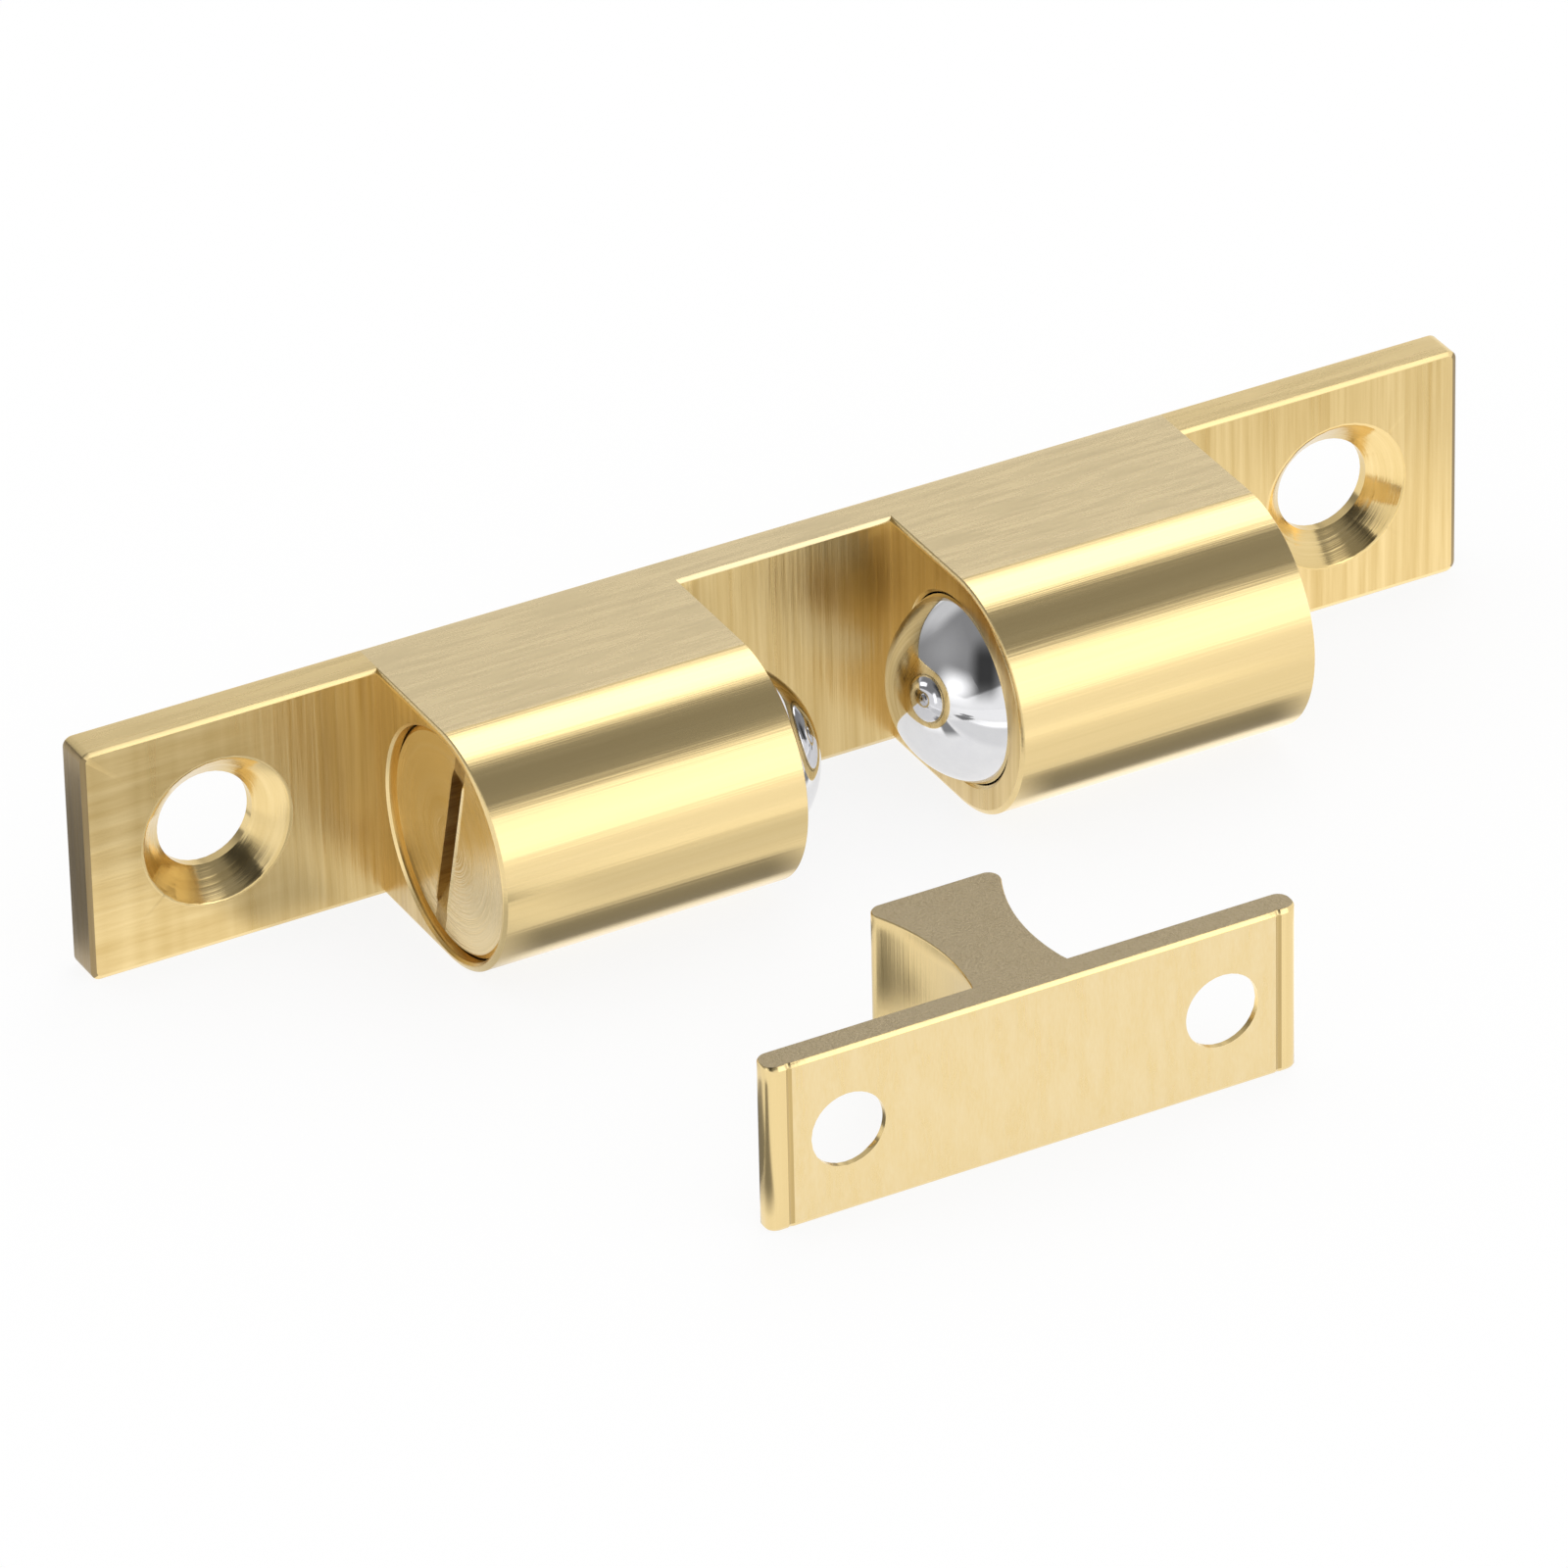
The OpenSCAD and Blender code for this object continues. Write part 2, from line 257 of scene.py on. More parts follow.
class MetalMaterial:
    """Turns a finish into a Principled material whose tone, gloss and relief follow the metal's grain."""

    LINE_SHARE = 0.5
    NICK_SHARE = 0.35

    def __init__(self, finish: Finish) -> None:
        """Keeps the finish and starts a material for it."""
        self.finish = finish
        self.material = bpy.data.materials.new(finish.name)
        self.material.use_nodes = True
        self.nodes = ShaderTree(self.material.node_tree)

    def place(self) -> Socket:
        """Gives the socket of the Object coordinates."""
        return self.nodes.node("ShaderNodeTexCoord").outputs["Object"]

    def moved(self, source: Socket, location: Point, scale: Point) -> Socket:
        """Scales a vector, then shifts it, and gives the result's socket."""
        inputs = {"Vector": source, "Location": location, "Scale": scale}
        return self.nodes.node("ShaderNodeMapping", inputs).outputs["Vector"]

    def grain_vector(self, lay: Lay, width: float, length: float) -> Socket:
        """Lays the grain out on Object coordinates.

        Straight grain divides each coordinate by the line's length or width. Rings use the distance from the
        nearer centre, found by folding the coordinates about the origin.

        Args:
            lay: Which way the lines run.
            width: Width of a line in millimetres.
            length: Length of a line in millimetres.

        Returns:
            The socket with the vector for the grain group.
        """
        finish = self.finish
        place = self.place()
        across, along = 1 / (width * MM), 1 / (length * MM)
        straight = {
            Lay.ALONG_X: (along, across, across),
            Lay.ALONG_Z: (across, across, along),
            Lay.GRIT: (across, across, across),
        }
        if lay in straight:
            return self.moved(place, (0, 0, 0), straight[lay])
        centred = self.moved(place, tuple(-value * MM for value in finish.origin), (1, 1, 1))
        fold = self.nodes.node("ShaderNodeVectorMath", {0: centred}, operation="ABSOLUTE")
        keep = (0, 1, 1) if lay is Lay.RINGS_ABOUT_X else (1, 0, 1)
        flat = self.moved(fold.outputs["Vector"], (-finish.spacing * MM, 0, 0), keep)
        radius = self.nodes.node("ShaderNodeVectorMath", {0: flat}, operation="LENGTH")
        drift = self.moved(place, (0, 0, 0), (along, along, along))
        terms = {0: radius.outputs["Value"], 1: (across, 0, 0), 2: drift}
        return self.nodes.node("ShaderNodeVectorMath", terms, operation="MULTIPLY_ADD").outputs["Vector"]

    def grain(self, lay: Lay, width: float, length: float) -> bpy.types.Node:
        """Places the grain group with lines of a width and length, in millimetres, along one lay."""
        vector = self.grain_vector(lay, width, length)
        return self.nodes.node("ShaderNodeGroup", {"Vector": vector}, node_tree=Grain().build())

    def lines(self, grain: bpy.types.Node) -> Socket:
        """Blends the lines along X into the streaks of the finish, where it has some.

        Args:
            grain: The placed grain group.

        Returns:
            The socket of the blended lines.
        """
        streaks = self.finish.streaks
        if streaks is None:
            return grain.outputs["Lines"]
        along = self.nodes.node("ShaderNodeSeparateXYZ", {"Vector": self.place()})
        reach = {
            "Value": along.outputs["X"],
            "From Min": streaks.full_before * MM,
            "From Max": streaks.gone_after * MM,
        }
        share = self.nodes.node("ShaderNodeMapRange", reach, interpolation_type="SMOOTHSTEP")
        coarse = self.grain(Lay.ALONG_X, streaks.width, streaks.length)
        sides = {
            "Factor": share.outputs["Result"],
            "A": coarse.outputs["Lines"],
            "B": grain.outputs["Lines"],
        }
        return self.nodes.node("ShaderNodeMix", sides, data_type="FLOAT").outputs["Result"]

    def build(self) -> bpy.types.Material:
        """Mixes the finish's two colours, its gloss and its relief by the grain.

        Returns:
            The finished material.
        """
        finish, nodes = self.finish, self.nodes
        grain = self.grain(finish.lay, finish.line_width, finish.line_length)
        lines, clouds = self.lines(grain), grain.outputs["Clouds"]
        cloud_tone = nodes.math("MULTIPLY", clouds, 1 - self.LINE_SHARE)
        tones = {
            "Factor": nodes.math("MULTIPLY_ADD", lines, self.LINE_SHARE, cloud_tone),
            "A": (*finish.dark, 1),
            "B": (*finish.light, 1),
        }
        color = nodes.node("ShaderNodeMix", tones, data_type="RGBA")
        smooth, rough = finish.roughness
        gloss = nodes.node("ShaderNodeMapRange", {"Value": clouds, "To Min": smooth, "To Max": rough})
        height = nodes.math("MULTIPLY_ADD", grain.outputs["Nicks"], -self.NICK_SHARE, lines, clamp=False)
        bump = nodes.node("ShaderNodeBump", {"Height": height, "Distance": finish.line_depth * MM})
        nodes.fill(nodes.tree.nodes["Principled BSDF"], {
            "Metallic": 1.0,
            "Base Color": color.outputs["Result"],
            "Roughness": gloss.outputs["Result"],
            "Normal": bump.outputs["Normal"],
        })
        return self.material


@functools.cache
def metal(finish: Finish) -> bpy.types.Material:
    """Gives the material of a finish, made at its first use."""
    return MetalMaterial(finish).build()


class Skin:
    """Patches of one piece, gathered in millimetres and welded into one closed mesh."""

    def __init__(self) -> None:
        """Starts with no points and no faces."""
        self.points: list[Array] = []
        self.faces: list[list[int]] = []
        self.marks: list[int] = []
        self.finishes: list[Finish] = []
        self.count = 0

    def number(self, finish: Finish) -> int:
        """Gives the material slot of a finish, and adds it when it is new."""
        if finish not in self.finishes:
            self.finishes.append(finish)
        return self.finishes.index(finish)

    def add(self, points: Array) -> Array:
        """Keeps points of the piece.

        Args:
            points: Points as an array of any shape (..., 3).

        Returns:
            The points' numbers, in the same shape.
        """
        flat = points.reshape(-1, 3)
        numbers = np.arange(self.count, self.count + len(flat)).reshape(points.shape[:-1])
        self.points.append(flat)
        self.count += len(flat)
        return numbers

    def loft(self, rings: Array, finish: Union[Finish, Sequence[Finish]], closed: bool = False) -> None:
        """Joins each ring of points to the next one with a band of quads.

        Point (i, j) goes with (i, j + 1), (i + 1, j + 1) and (i + 1, j), and a closed ring joins its last
        point to its first.

        Args:
            rings: Points as an array (rings, points per ring, 3).
            finish: The finish of all bands, or one for each band.
            closed: Whether each ring closes on itself.
        """
        index = self.add(rings)
        if closed:
            index = np.concatenate([index, index[:, :1]], axis=1)
        quads = np.stack([index[:-1, :-1], index[:-1, 1:], index[1:, 1:], index[1:, :-1]], axis=-1)
        bands = [finish] * len(quads) if isinstance(finish, Finish) else list(finish)
        numbers = np.array([self.number(band) for band in bands])
        self.faces += quads.reshape(-1, 4).tolist()
        self.marks += np.repeat(numbers, quads.shape[1]).tolist()

    def cap(self, ring: Array, finish: Finish) -> None:
        """Closes a flat ring of points (n, 3) with one face."""
        self.faces.append(self.add(ring).tolist())
        self.marks.append(self.number(finish))

    def to_object(self, name: str) -> bpy.types.Object:
        """Welds the patches, turns all faces outwards and makes the Blender object.

        Args:
            name: Name of the piece.

        Returns:
            The object, at the origin, with its place in its mesh.
        """
        mesh = bpy.data.meshes.new(name)
        mesh.from_pydata((np.concatenate(self.points) * MM).tolist(), [], self.faces)
        for finish in self.finishes:
            mesh.materials.append(metal(finish))
        mesh.polygons.foreach_set("material_index", self.marks)
        work = bmesh.new()
        work.from_mesh(mesh)
        bmesh.ops.remove_doubles(work, verts=work.verts, dist=WELD_DISTANCE)
        bmesh.ops.dissolve_degenerate(work, edges=work.edges, dist=THINNEST_FACE)
        bmesh.ops.recalc_face_normals(work, faces=work.faces)
        open_edges = sum(not edge.is_manifold for edge in work.edges)
        work.to_mesh(mesh)
        work.free()
        mesh.polygons.foreach_set("use_smooth", np.ones(len(mesh.polygons), dtype=bool))
        mesh.set_sharp_from_angle(angle=SHARP_ANGLE)
        made = bpy.data.objects.new(name, mesh)
        bpy.context.scene.collection.objects.link(made)
        weighted = made.modifiers.new("flat faces stay flat", "WEIGHTED_NORMAL")
        weighted.keep_sharp = True
        if open_edges:
            log.warning("%s: %d open edges", name, open_edges)
        return made


def spread(start: float, end: float, count: int) -> Array:
    """Gives evenly spaced values from start to end, both included."""
    return np.linspace(start, end, count)


def inner(start: float, end: float, count: int) -> Array:
    """Gives evenly spaced values between start and end, both left out."""
    return np.linspace(start, end, count + 2)[1:-1]


def at(x: Union[float, Array], y: Union[float, Array], z: Union[float, Array]) -> Array:
    """Stacks three coordinates, spread over each other's shapes, into points (..., 3)."""
    return np.stack(np.broadcast_arrays(x, y, z), axis=-1).astype(float)


def pair(first: Union[float, Array], second: Union[float, Array]) -> Array:
    """Stacks two coordinates, spread over each other's shapes, into points (..., 2)."""
    return np.stack(np.broadcast_arrays(first, second), axis=-1).astype(float)


def full_turn(count: int) -> Array:
    """Gives evenly spaced angles once round, with the start left out at the end."""
    return np.linspace(0, 2 * np.pi, count, endpoint=False)


def fillet_steps(count: int) -> Array:
    """Gives the angles of a quarter round edge, from one face to the next."""
    return np.linspace(0, np.pi / 2, count)


def soft_chamfer(count: int) -> tuple[Array, Array]:
    """Gives the section of a broken edge.

    Over a quarter turn q its inset is 1 - cos(q)^s and its fall is 1 - sin(q)^s. The shape s is 1 for a
    quarter round and 2 for a straight chamfer.

    Args:
        count: Number of points.

    Returns:
        The inset, from 0 to 1, and the fall, from 1 to 0.
    """
    turn = fillet_steps(count)
    return 1 - np.abs(np.cos(turn)) ** EDGE_SHAPE, 1 - np.sin(turn) ** EDGE_SHAPE


def place_piece(piece: bpy.types.Object, body: str, node: str) -> None:
    """Lets a piece ride on a body and stand for a CAD node."""
    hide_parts(node)
    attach(piece, body)


@dataclass
class Case:
    """Brass case: a back plate with two bored barrels, two milled lugs and a milled gap between the barrels.

    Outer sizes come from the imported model, and all lengths are in millimetres.
    """

    barrel_inner: float = 4.6
    barrel_length: float = 13.0
    plate_thickness: float = 1.6
    corner_radius: float = 0.4
    edge: float = 0.20
    edge_reach: float = 0.11
    back_edge: float = 0.08
    mouth_chamfer: float = 0.1
    bore_wall: float = 0.35
    screw_bore_depth: float = 4.0
    ball_clearance: float = 0.05
    lip_bevel: float = 0.16
    lip_share: float = 0.75
    countersink_radius: float = 3.1
    rim_break: float = 0.10
    rim_fall: float = 0.04
    flat_samples: int = 12
    nose_samples: int = 72
    base_samples: int = 17
    edge_samples: int = 6
    barrel_samples: int = 14
    gap_samples: int = 9
    seat_samples: int = 7
    lug_samples: int = 14
    corner_samples: int = 7
    end_samples: int = 11

    def __post_init__(self) -> None:
        """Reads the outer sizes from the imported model."""
        low, high = box_mm("case")
        self.half_length = high[0]
        self.half_width = high[2]
        self.axis_y = low[1] + self.half_width
        self.barrel_outer = self.barrel_inner + self.barrel_length
        dims = mount_dims("case_screw_holes")
        self.hole_position = dims["spacing_x_mm"] / 2
        self.hole_radius = dims["hole_r_mm"]
        ball_low, ball_high = box_mm("right_ball")
        self.ball_radius = (ball_high[2] - ball_low[2]) / 2
        self.ball_place = self.barrel_outer - (ball_low[0] + ball_high[0]) / 2
        self.screw_bore_radius = self.half_width - self.bore_wall
        brass = dict(light=BRASS_LIGHT, dark=BRASS_MID)
        rows = dict(spacing=self.hole_position)
        axis = dict(origin=(0.0, self.axis_y, 0.0))
        self.nose = Finish("drawn_brass", **brass, roughness=(0.17, 0.24), lay=Lay.ALONG_X,
                           line_width=0.13, line_length=14, line_depth=0.0022)
        self.flat = Finish("satin_brass", light=BRASS_PALE, dark=BRASS_SATIN, roughness=(0.22, 0.30),
                           lay=Lay.ALONG_X, line_width=0.05, line_length=0.6, line_depth=0.0011)
        self.milled = Finish("milled_brass", light=BRASS_LIGHT, dark=BRASS_BROWN, roughness=(0.25, 0.36),
                             lay=Lay.ALONG_Z, line_width=0.26, line_length=9, line_depth=0.009,
                             streaks=Streaks(full_before=-25.5, gone_after=-20.5, width=0.5, length=7))
        self.side = Finish("drawn_side_brass", **brass, roughness=(0.22, 0.32), lay=Lay.ALONG_X,
                           line_width=0.06, line_length=1.0, line_depth=0.0014)
        self.cut = Finish("sawn_end_brass", light=SAWN_END_LIGHT, dark=SAWN_END_DARK, roughness=(0.30, 0.42),
                          lay=Lay.ALONG_Z, line_width=0.14, line_length=3, line_depth=0.008)
        self.turned = Finish("turned_brass", light=BRASS_LIGHT, dark=BRASS_DEEP, roughness=(0.12, 0.20),
                             lay=Lay.RINGS_ABOUT_Y, line_width=0.16, line_length=3, line_depth=0.005, **rows)
        self.faced = Finish("faced_brass", light=BRASS_LIGHT, dark=BRASS_MID, roughness=(0.20, 0.32),
                            lay=Lay.RINGS_ABOUT_X, line_width=0.12, line_length=8, line_depth=0.006, **axis)

    def barrel_outline(self, start_y: float, inset: float) -> Array:
        """Outline of a barrel without its base, as (y, z): flat, half circle about the ball axis, flat.

        Args:
            start_y: Where the flats begin, near the plate.
            inset: Distance of the outline inside the barrel's skin.

        Returns:
            Points from the top flat round the nose to the bottom flat.
        """
        radius = self.half_width - inset
        run = spread(start_y, self.axis_y, self.flat_samples)
        turn = inner(np.pi / 2, -np.pi / 2, self.nose_samples)
        top = pair(run, radius)
        nose = pair(self.axis_y - radius * np.cos(turn), radius * np.sin(turn))
        return np.concatenate([top, nose, top[::-1] * (1, -1)])

    def base_line(self) -> Array:
        """Places across the case where a barrel's end meets the plate, without the two corners."""
        limit = self.half_width - self.edge
        return inner(-limit, limit, self.base_samples)

    def rim_profile(self) -> Array:
        """Section of the plate's side: a quarter round back edge, then flat up to the front edge.

        Returns:
            Points (y, inset).
        """
        turn = fillet_steps(self.edge_samples)
        back = self.back_edge * pair(np.cos(turn) - 1, 1 - np.sin(turn))
        end = -self.plate_thickness + self.edge_reach
        flat = pair(np.append(inner(-self.back_edge, end, 2), end), 0.0)
        return np.concatenate([back, flat])

    def edge_profile(self) -> Array:
        """Section of the plate's front edge as (y, inset, mitre), a soft chamfer."""
        inset, fall = soft_chamfer(self.edge_samples)
        reach = self.edge_reach * fall
        return np.stack([-self.plate_thickness + reach, self.edge * inset, reach], axis=-1)

    def barrel_stations(self) -> Array:
        """Places along X of the rings of a barrel's skin, between its two rounded ends."""
        start, end = self.barrel_inner + self.edge_reach, self.barrel_outer - self.edge_reach
        return spread(start, end, self.barrel_samples)

    def gap_stations(self, mitre: float) -> Array:
        """Places along X across the gap, longer by the mitre at both barrels."""
        return spread(-self.barrel_inner - mitre, self.barrel_inner + mitre, self.gap_samples)

    def add_barrel_skin(self, skin: Skin, side: int) -> None:
        """Carries the barrel's outline, with the plate's side below it, along X, and rounds its two ends.

        The ends have the same soft chamfer as the plate's front edge, edge wide on the end face and
        edge_reach long on the skin. Its flats start on the mitre with the plate's front edge.

        Args:
            skin: The skin of the case.
            side: LEFT or RIGHT.
        """
        rim = self.rim_profile()
        side_points = pair(rim[:, 0], self.half_width - rim[:, 1])
        body = self.barrel_outline(side_points[-1, 0], 0)
        outline = np.concatenate([side_points[:-1], body, side_points[-2::-1] * (1, -1)])
        stations = side * self.barrel_stations()
        rings = at(stations[:, None], outline[None, :, 0], outline[None, :, 1])
        first = len(side_points) - 1 + self.flat_samples
        turn_end = first + self.nose_samples
        skin.loft(rings[:, : first + 1], self.flat)
        skin.loft(rings[:, first : turn_end + 1], self.nose)
        skin.loft(rings[:, turn_end:], self.flat)
        for end, inward in ((self.barrel_outer, -1), (self.barrel_inner, 1)):
            strip = [
                at(side * (end + inward * mitre), *self.barrel_outline(y, inset).T)
                for y, inset, mitre in self.edge_profile()
            ]
            skin.loft(np.stack(strip), self.nose)

    def add_bore(self, skin: Skin, side: int) -> None:
        """Runs one tube from the barrel's outer end face through the stepped bore to its inner end face.

        Each ring is a circle about the ball axis, with its points at the angles of the end face's outline.
        The last circles follow the sphere that holds the ball, radius = sqrt(bore^2 - distance^2).

        Args:
            skin: The skin of the case.
            side: LEFT or RIGHT.
        """
        bore = self.ball_radius + self.ball_clearance
        outline = np.concatenate([
            self.barrel_outline(-self.plate_thickness, self.edge),
            pair(-self.plate_thickness, self.base_line()),
        ])
        angle = np.arctan2(outline[:, 1], outline[:, 0] - self.axis_y)
        lip = math.sqrt(bore**2 - (self.barrel_length - self.ball_place) ** 2)
        seat_end = self.barrel_length - self.lip_bevel * self.lip_share
        seat = spread(self.ball_place, seat_end, self.seat_samples)
        circles = [
            (0.0, self.screw_bore_radius + self.mouth_chamfer),
            (self.mouth_chamfer, self.screw_bore_radius),
            (self.screw_bore_depth, self.screw_bore_radius),
            (self.screw_bore_depth, bore),
            *zip(seat, np.sqrt(bore**2 - (seat - self.ball_place) ** 2)),
            (self.barrel_length, lip + self.lip_bevel),
        ]

        def ring(distance: float, points: Array) -> Array:
            """Puts (y, z) points at a distance from the barrel's outer end."""
            return at(side * (self.barrel_outer - distance), *points.T)

        def circle(distance: float, radius: float) -> Array:
            """Gives the bore's circle of that radius at a distance from the outer end."""
            return ring(distance, pair(self.axis_y + radius * np.cos(angle), radius * np.sin(angle)))

        rings = [ring(0.0, outline), *(circle(*one) for one in circles), ring(self.barrel_length, outline)]
        bands = [self.milled, *[self.faced] * (len(circles) - 1), self.milled]
        skin.loft(np.stack(rings), bands, closed=True)

    def lug_outline(self, side: int, y: float, inset: float, junction: float) -> Array:
        """Free edge of a lug at one height, from the top of the barrel round the end to the bottom.

        Args:
            side: LEFT or RIGHT.
            y: Height of the outline above the mounting face, as a place on Y.
            inset: Distance of the outline inside the plate's sides.
            junction: Place along X where the outline meets the barrel.

        Returns:
            Points (n, 3).
        """
        corner_x = self.half_length - self.corner_radius
        corner_z = self.half_width - self.corner_radius
        radius = self.corner_radius - inset
        turn = fillet_steps(self.corner_samples)
        top = pair(spread(junction, corner_x, self.lug_samples)[:-1], self.half_width - inset)
        corner = pair(corner_x + radius * np.sin(turn), corner_z + radius * np.cos(turn))
        end = pair(self.half_length - inset, inner(corner_z, -corner_z, self.end_samples))
        half = np.concatenate([top, corner])
        path = np.concatenate([half, end, half[::-1] * (1, -1)])
        return at(side * path[:, 0], y, path[:, 1])

    def sawn_end(self) -> slice:
        """Gives the points of a lug's outline from the middle of one corner to the middle of the other."""
        start = self.lug_samples - 1 + self.corner_samples // 2
        return slice(start, start + self.corner_samples + self.end_samples + 1)

    def add_lug(self, skin: Skin, side: int) -> None:
        """Closes one lug: its sides and edges, its front with the countersunk hole, and its back.

        Front and back are bands from the outline to a circle about the hole, with the circle's points at the
        outline's angles. The countersink has a softly broken rim and is a 90 degree cone down to the hole.

        Args:
            skin: The skin of the case.
            side: LEFT or RIGHT.
        """
        junction = self.barrel_outer - self.edge_reach
        belt = [self.lug_outline(side, y, inset, junction) for y, inset in self.rim_profile()]
        front = [
            self.lug_outline(side, y, inset, self.barrel_outer - mitre)
            for y, inset, mitre in self.edge_profile()
        ]
        rings = np.stack(belt + front[1:])
        end = self.sawn_end()
        skin.loft(rings[:, : end.start + 1], self.side)
        skin.loft(rings[:, end], self.cut)
        skin.loft(rings[:, end.stop - 1 :], self.side)
        depth = self.countersink_radius - self.hole_radius
        profile = [
            (-self.plate_thickness, self.countersink_radius + self.rim_break),
            (-self.plate_thickness + self.rim_fall, self.countersink_radius - self.rim_fall),
            (-self.plate_thickness + depth, self.hole_radius),
            (-self.back_edge, self.hole_radius),
            (0.0, self.hole_radius + self.back_edge),
        ]
        base = self.base_line()
        back_base = base * (self.half_width - self.back_edge) / (self.half_width - self.edge)
        face = np.concatenate([front[-1], at(side * self.barrel_outer, -self.plate_thickness, base)])
        back = np.concatenate([belt[0], at(side * junction, 0.0, back_base)])
        hole_x = side * self.hole_position
        angle = np.arctan2(face[:, 2], face[:, 0] - hole_x)
        circles = [at(hole_x + radius * np.cos(angle), y, radius * np.sin(angle)) for y, radius in profile]
        bands = [self.milled, *[self.turned] * (len(circles) - 1), self.flat]
        skin.loft(np.stack([face, *circles, back]), bands, closed=True)

    def add_gap(self, skin: Skin) -> None:
        """Closes the plate between the barrels: both sides and edges, the front, and the middle of the back.

        Args:
            skin: The skin of the case.
        """
        belt = [(y, inset, self.edge_reach) for y, inset in self.rim_profile()]
        rows = belt + [tuple(row) for row in self.edge_profile()[1:]]
        for up in (1, -1):
            rings = [
                at(self.gap_stations(mitre), y, up * (self.half_width - inset))
                for y, inset, mitre in rows
            ]
            skin.loft(np.stack(rings), self.flat)
        limit = self.half_width - self.edge
        across = np.concatenate([[-limit], self.base_line(), [limit]])
        skin.loft(at(self.gap_stations(0.0)[:, None], -self.plate_thickness, across[None, :]), self.milled)
        barrel = self.barrel_stations()
        along = np.concatenate([-barrel[::-1], self.gap_stations(self.edge_reach)[1:-1], barrel])
        back_across = across * (self.half_width - self.back_edge) / limit
        skin.loft(at(along[:, None], 0.0, back_across[None, :]), self.flat)

    def build(self) -> bpy.types.Object:
        """Makes the case as one closed skin and puts it on its body.

        Returns:
            The finished piece.
        """
        skin = Skin()
        for side in (LEFT, RIGHT):
            self.add_barrel_skin(skin, side)
            self.add_bore(skin, side)
            self.add_lug(skin, side)
        self.add_gap(skin)
        piece = skin.to_object("brass_case")
        place_piece(piece, "case", "case")
        return piece


@dataclass
class Balls:
    """Two chromed balls that face each other across the gap."""

    rings: int = 64
    sides: int = 96

    def __post_init__(self) -> None:
        """Sets the mirror finish of the chrome."""
        self.chrome = Finish("ball_chrome", light=CHROME_LIGHT, dark=CHROME_DARK, roughness=(0.03, 0.06),
                             lay=Lay.GRIT, line_width=0.5, line_length=0.5, line_depth=0.0004)

    def build(self, side: int) -> bpy.types.Object:
        """Makes one ball: a circle of radius sin(a) at distance cos(a) along X, for a from 0 to half a turn.

        Args:
            side: LEFT or RIGHT.

        Returns:
            The finished piece.
        """
        node = f"{SIDE_NAMES[side]}_ball"
        low, high = box_mm(node)
        middle = (low + high) / 2
        radius = (high - low)[2] / 2
        polar = spread(0, np.pi, self.rings)[:, None]
        turn = full_turn(self.sides)[None, :]
        unit = at(np.cos(polar), np.sin(polar) * np.cos(turn), np.sin(polar) * np.sin(turn))
        skin = Skin()
        skin.loft(middle + radius * unit, self.chrome, closed=True)
        piece = skin.to_object(f"{node}_chromed")
        place_piece(piece, node, node)
        return piece


@dataclass
class Springs:
    """Two coil springs between the adjusting screws and the balls."""

    wire_radius: float = 0.275
    turns: float = 4.0
    end_gap: float = 0.05
    end_closing: float = 0.7
    squash_keep: float = 0.61
    steps_per_turn: int = 48
    wire_sides: int = 16

    def __post_init__(self) -> None:
        """Sets the finish of the drawn wire."""
        self.wire = Finish("spring_wire", light=WIRE_LIGHT, dark=WIRE_DARK, roughness=(0.28, 0.42),
                           lay=Lay.GRIT, line_width=0.12, line_length=0.12, line_depth=0.004)

    def build(self, side: int) -> bpy.types.Object:
        """Carries a round wire along a helix whose first and last turns lie closer together.

        After a share u of all turns the wire is at start + span * (u - closing * sin(2 pi u) / (2 pi)) along
        the barrel. The wire's section is tilted by the helix's climb.

        Args:
            side: LEFT or RIGHT.

        Returns:
            The finished piece.
        """
        name = SIDE_NAMES[side]
        node = f"{name}_spring"
        low, high = box_mm(node)
        screw_low, screw_high = box_mm(f"{name}_adjusting_screw")
        screw_face = screw_high[0] if side == LEFT else screw_low[0]
        coil = (high[2] - low[2]) / 2 - self.wire_radius
        length = high[0] - low[0]
        start = self.wire_radius + self.end_gap
        span = length - 2 * self.wire_radius
        share = spread(0, 1, int(self.steps_per_turn * self.turns) + 1)[:, None]
        round_wire = full_turn(self.wire_sides)[None, :]
        turn = 2 * np.pi * self.turns * share
        climb = span * (1 - self.end_closing * np.cos(2 * np.pi * share)) / (2 * np.pi * self.turns)
        tilt = np.arctan2(climb, coil)
        out = coil + self.wire_radius * np.cos(round_wire)
        beside = self.wire_radius * np.sin(round_wire)
        along = start + span * (share - self.end_closing * np.sin(2 * np.pi * share) / (2 * np.pi))
        axis_y = (low[1] + high[1]) / 2
        rings = at(
            screw_face - side * (along + beside * np.cos(tilt)),
            axis_y - side * (out * np.cos(turn) + beside * np.sin(tilt) * np.sin(turn)),
            out * np.sin(turn) - beside * np.sin(tilt) * np.cos(turn),
        )
        skin = Skin()
        skin.loft(rings, self.wire, closed=True)
        skin.cap(rings[0], self.wire)
        skin.cap(rings[-1], self.wire)
        piece = skin.to_object(f"{node}_coil")
        place_piece(piece, node, node)
        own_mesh(piece)
        return piece


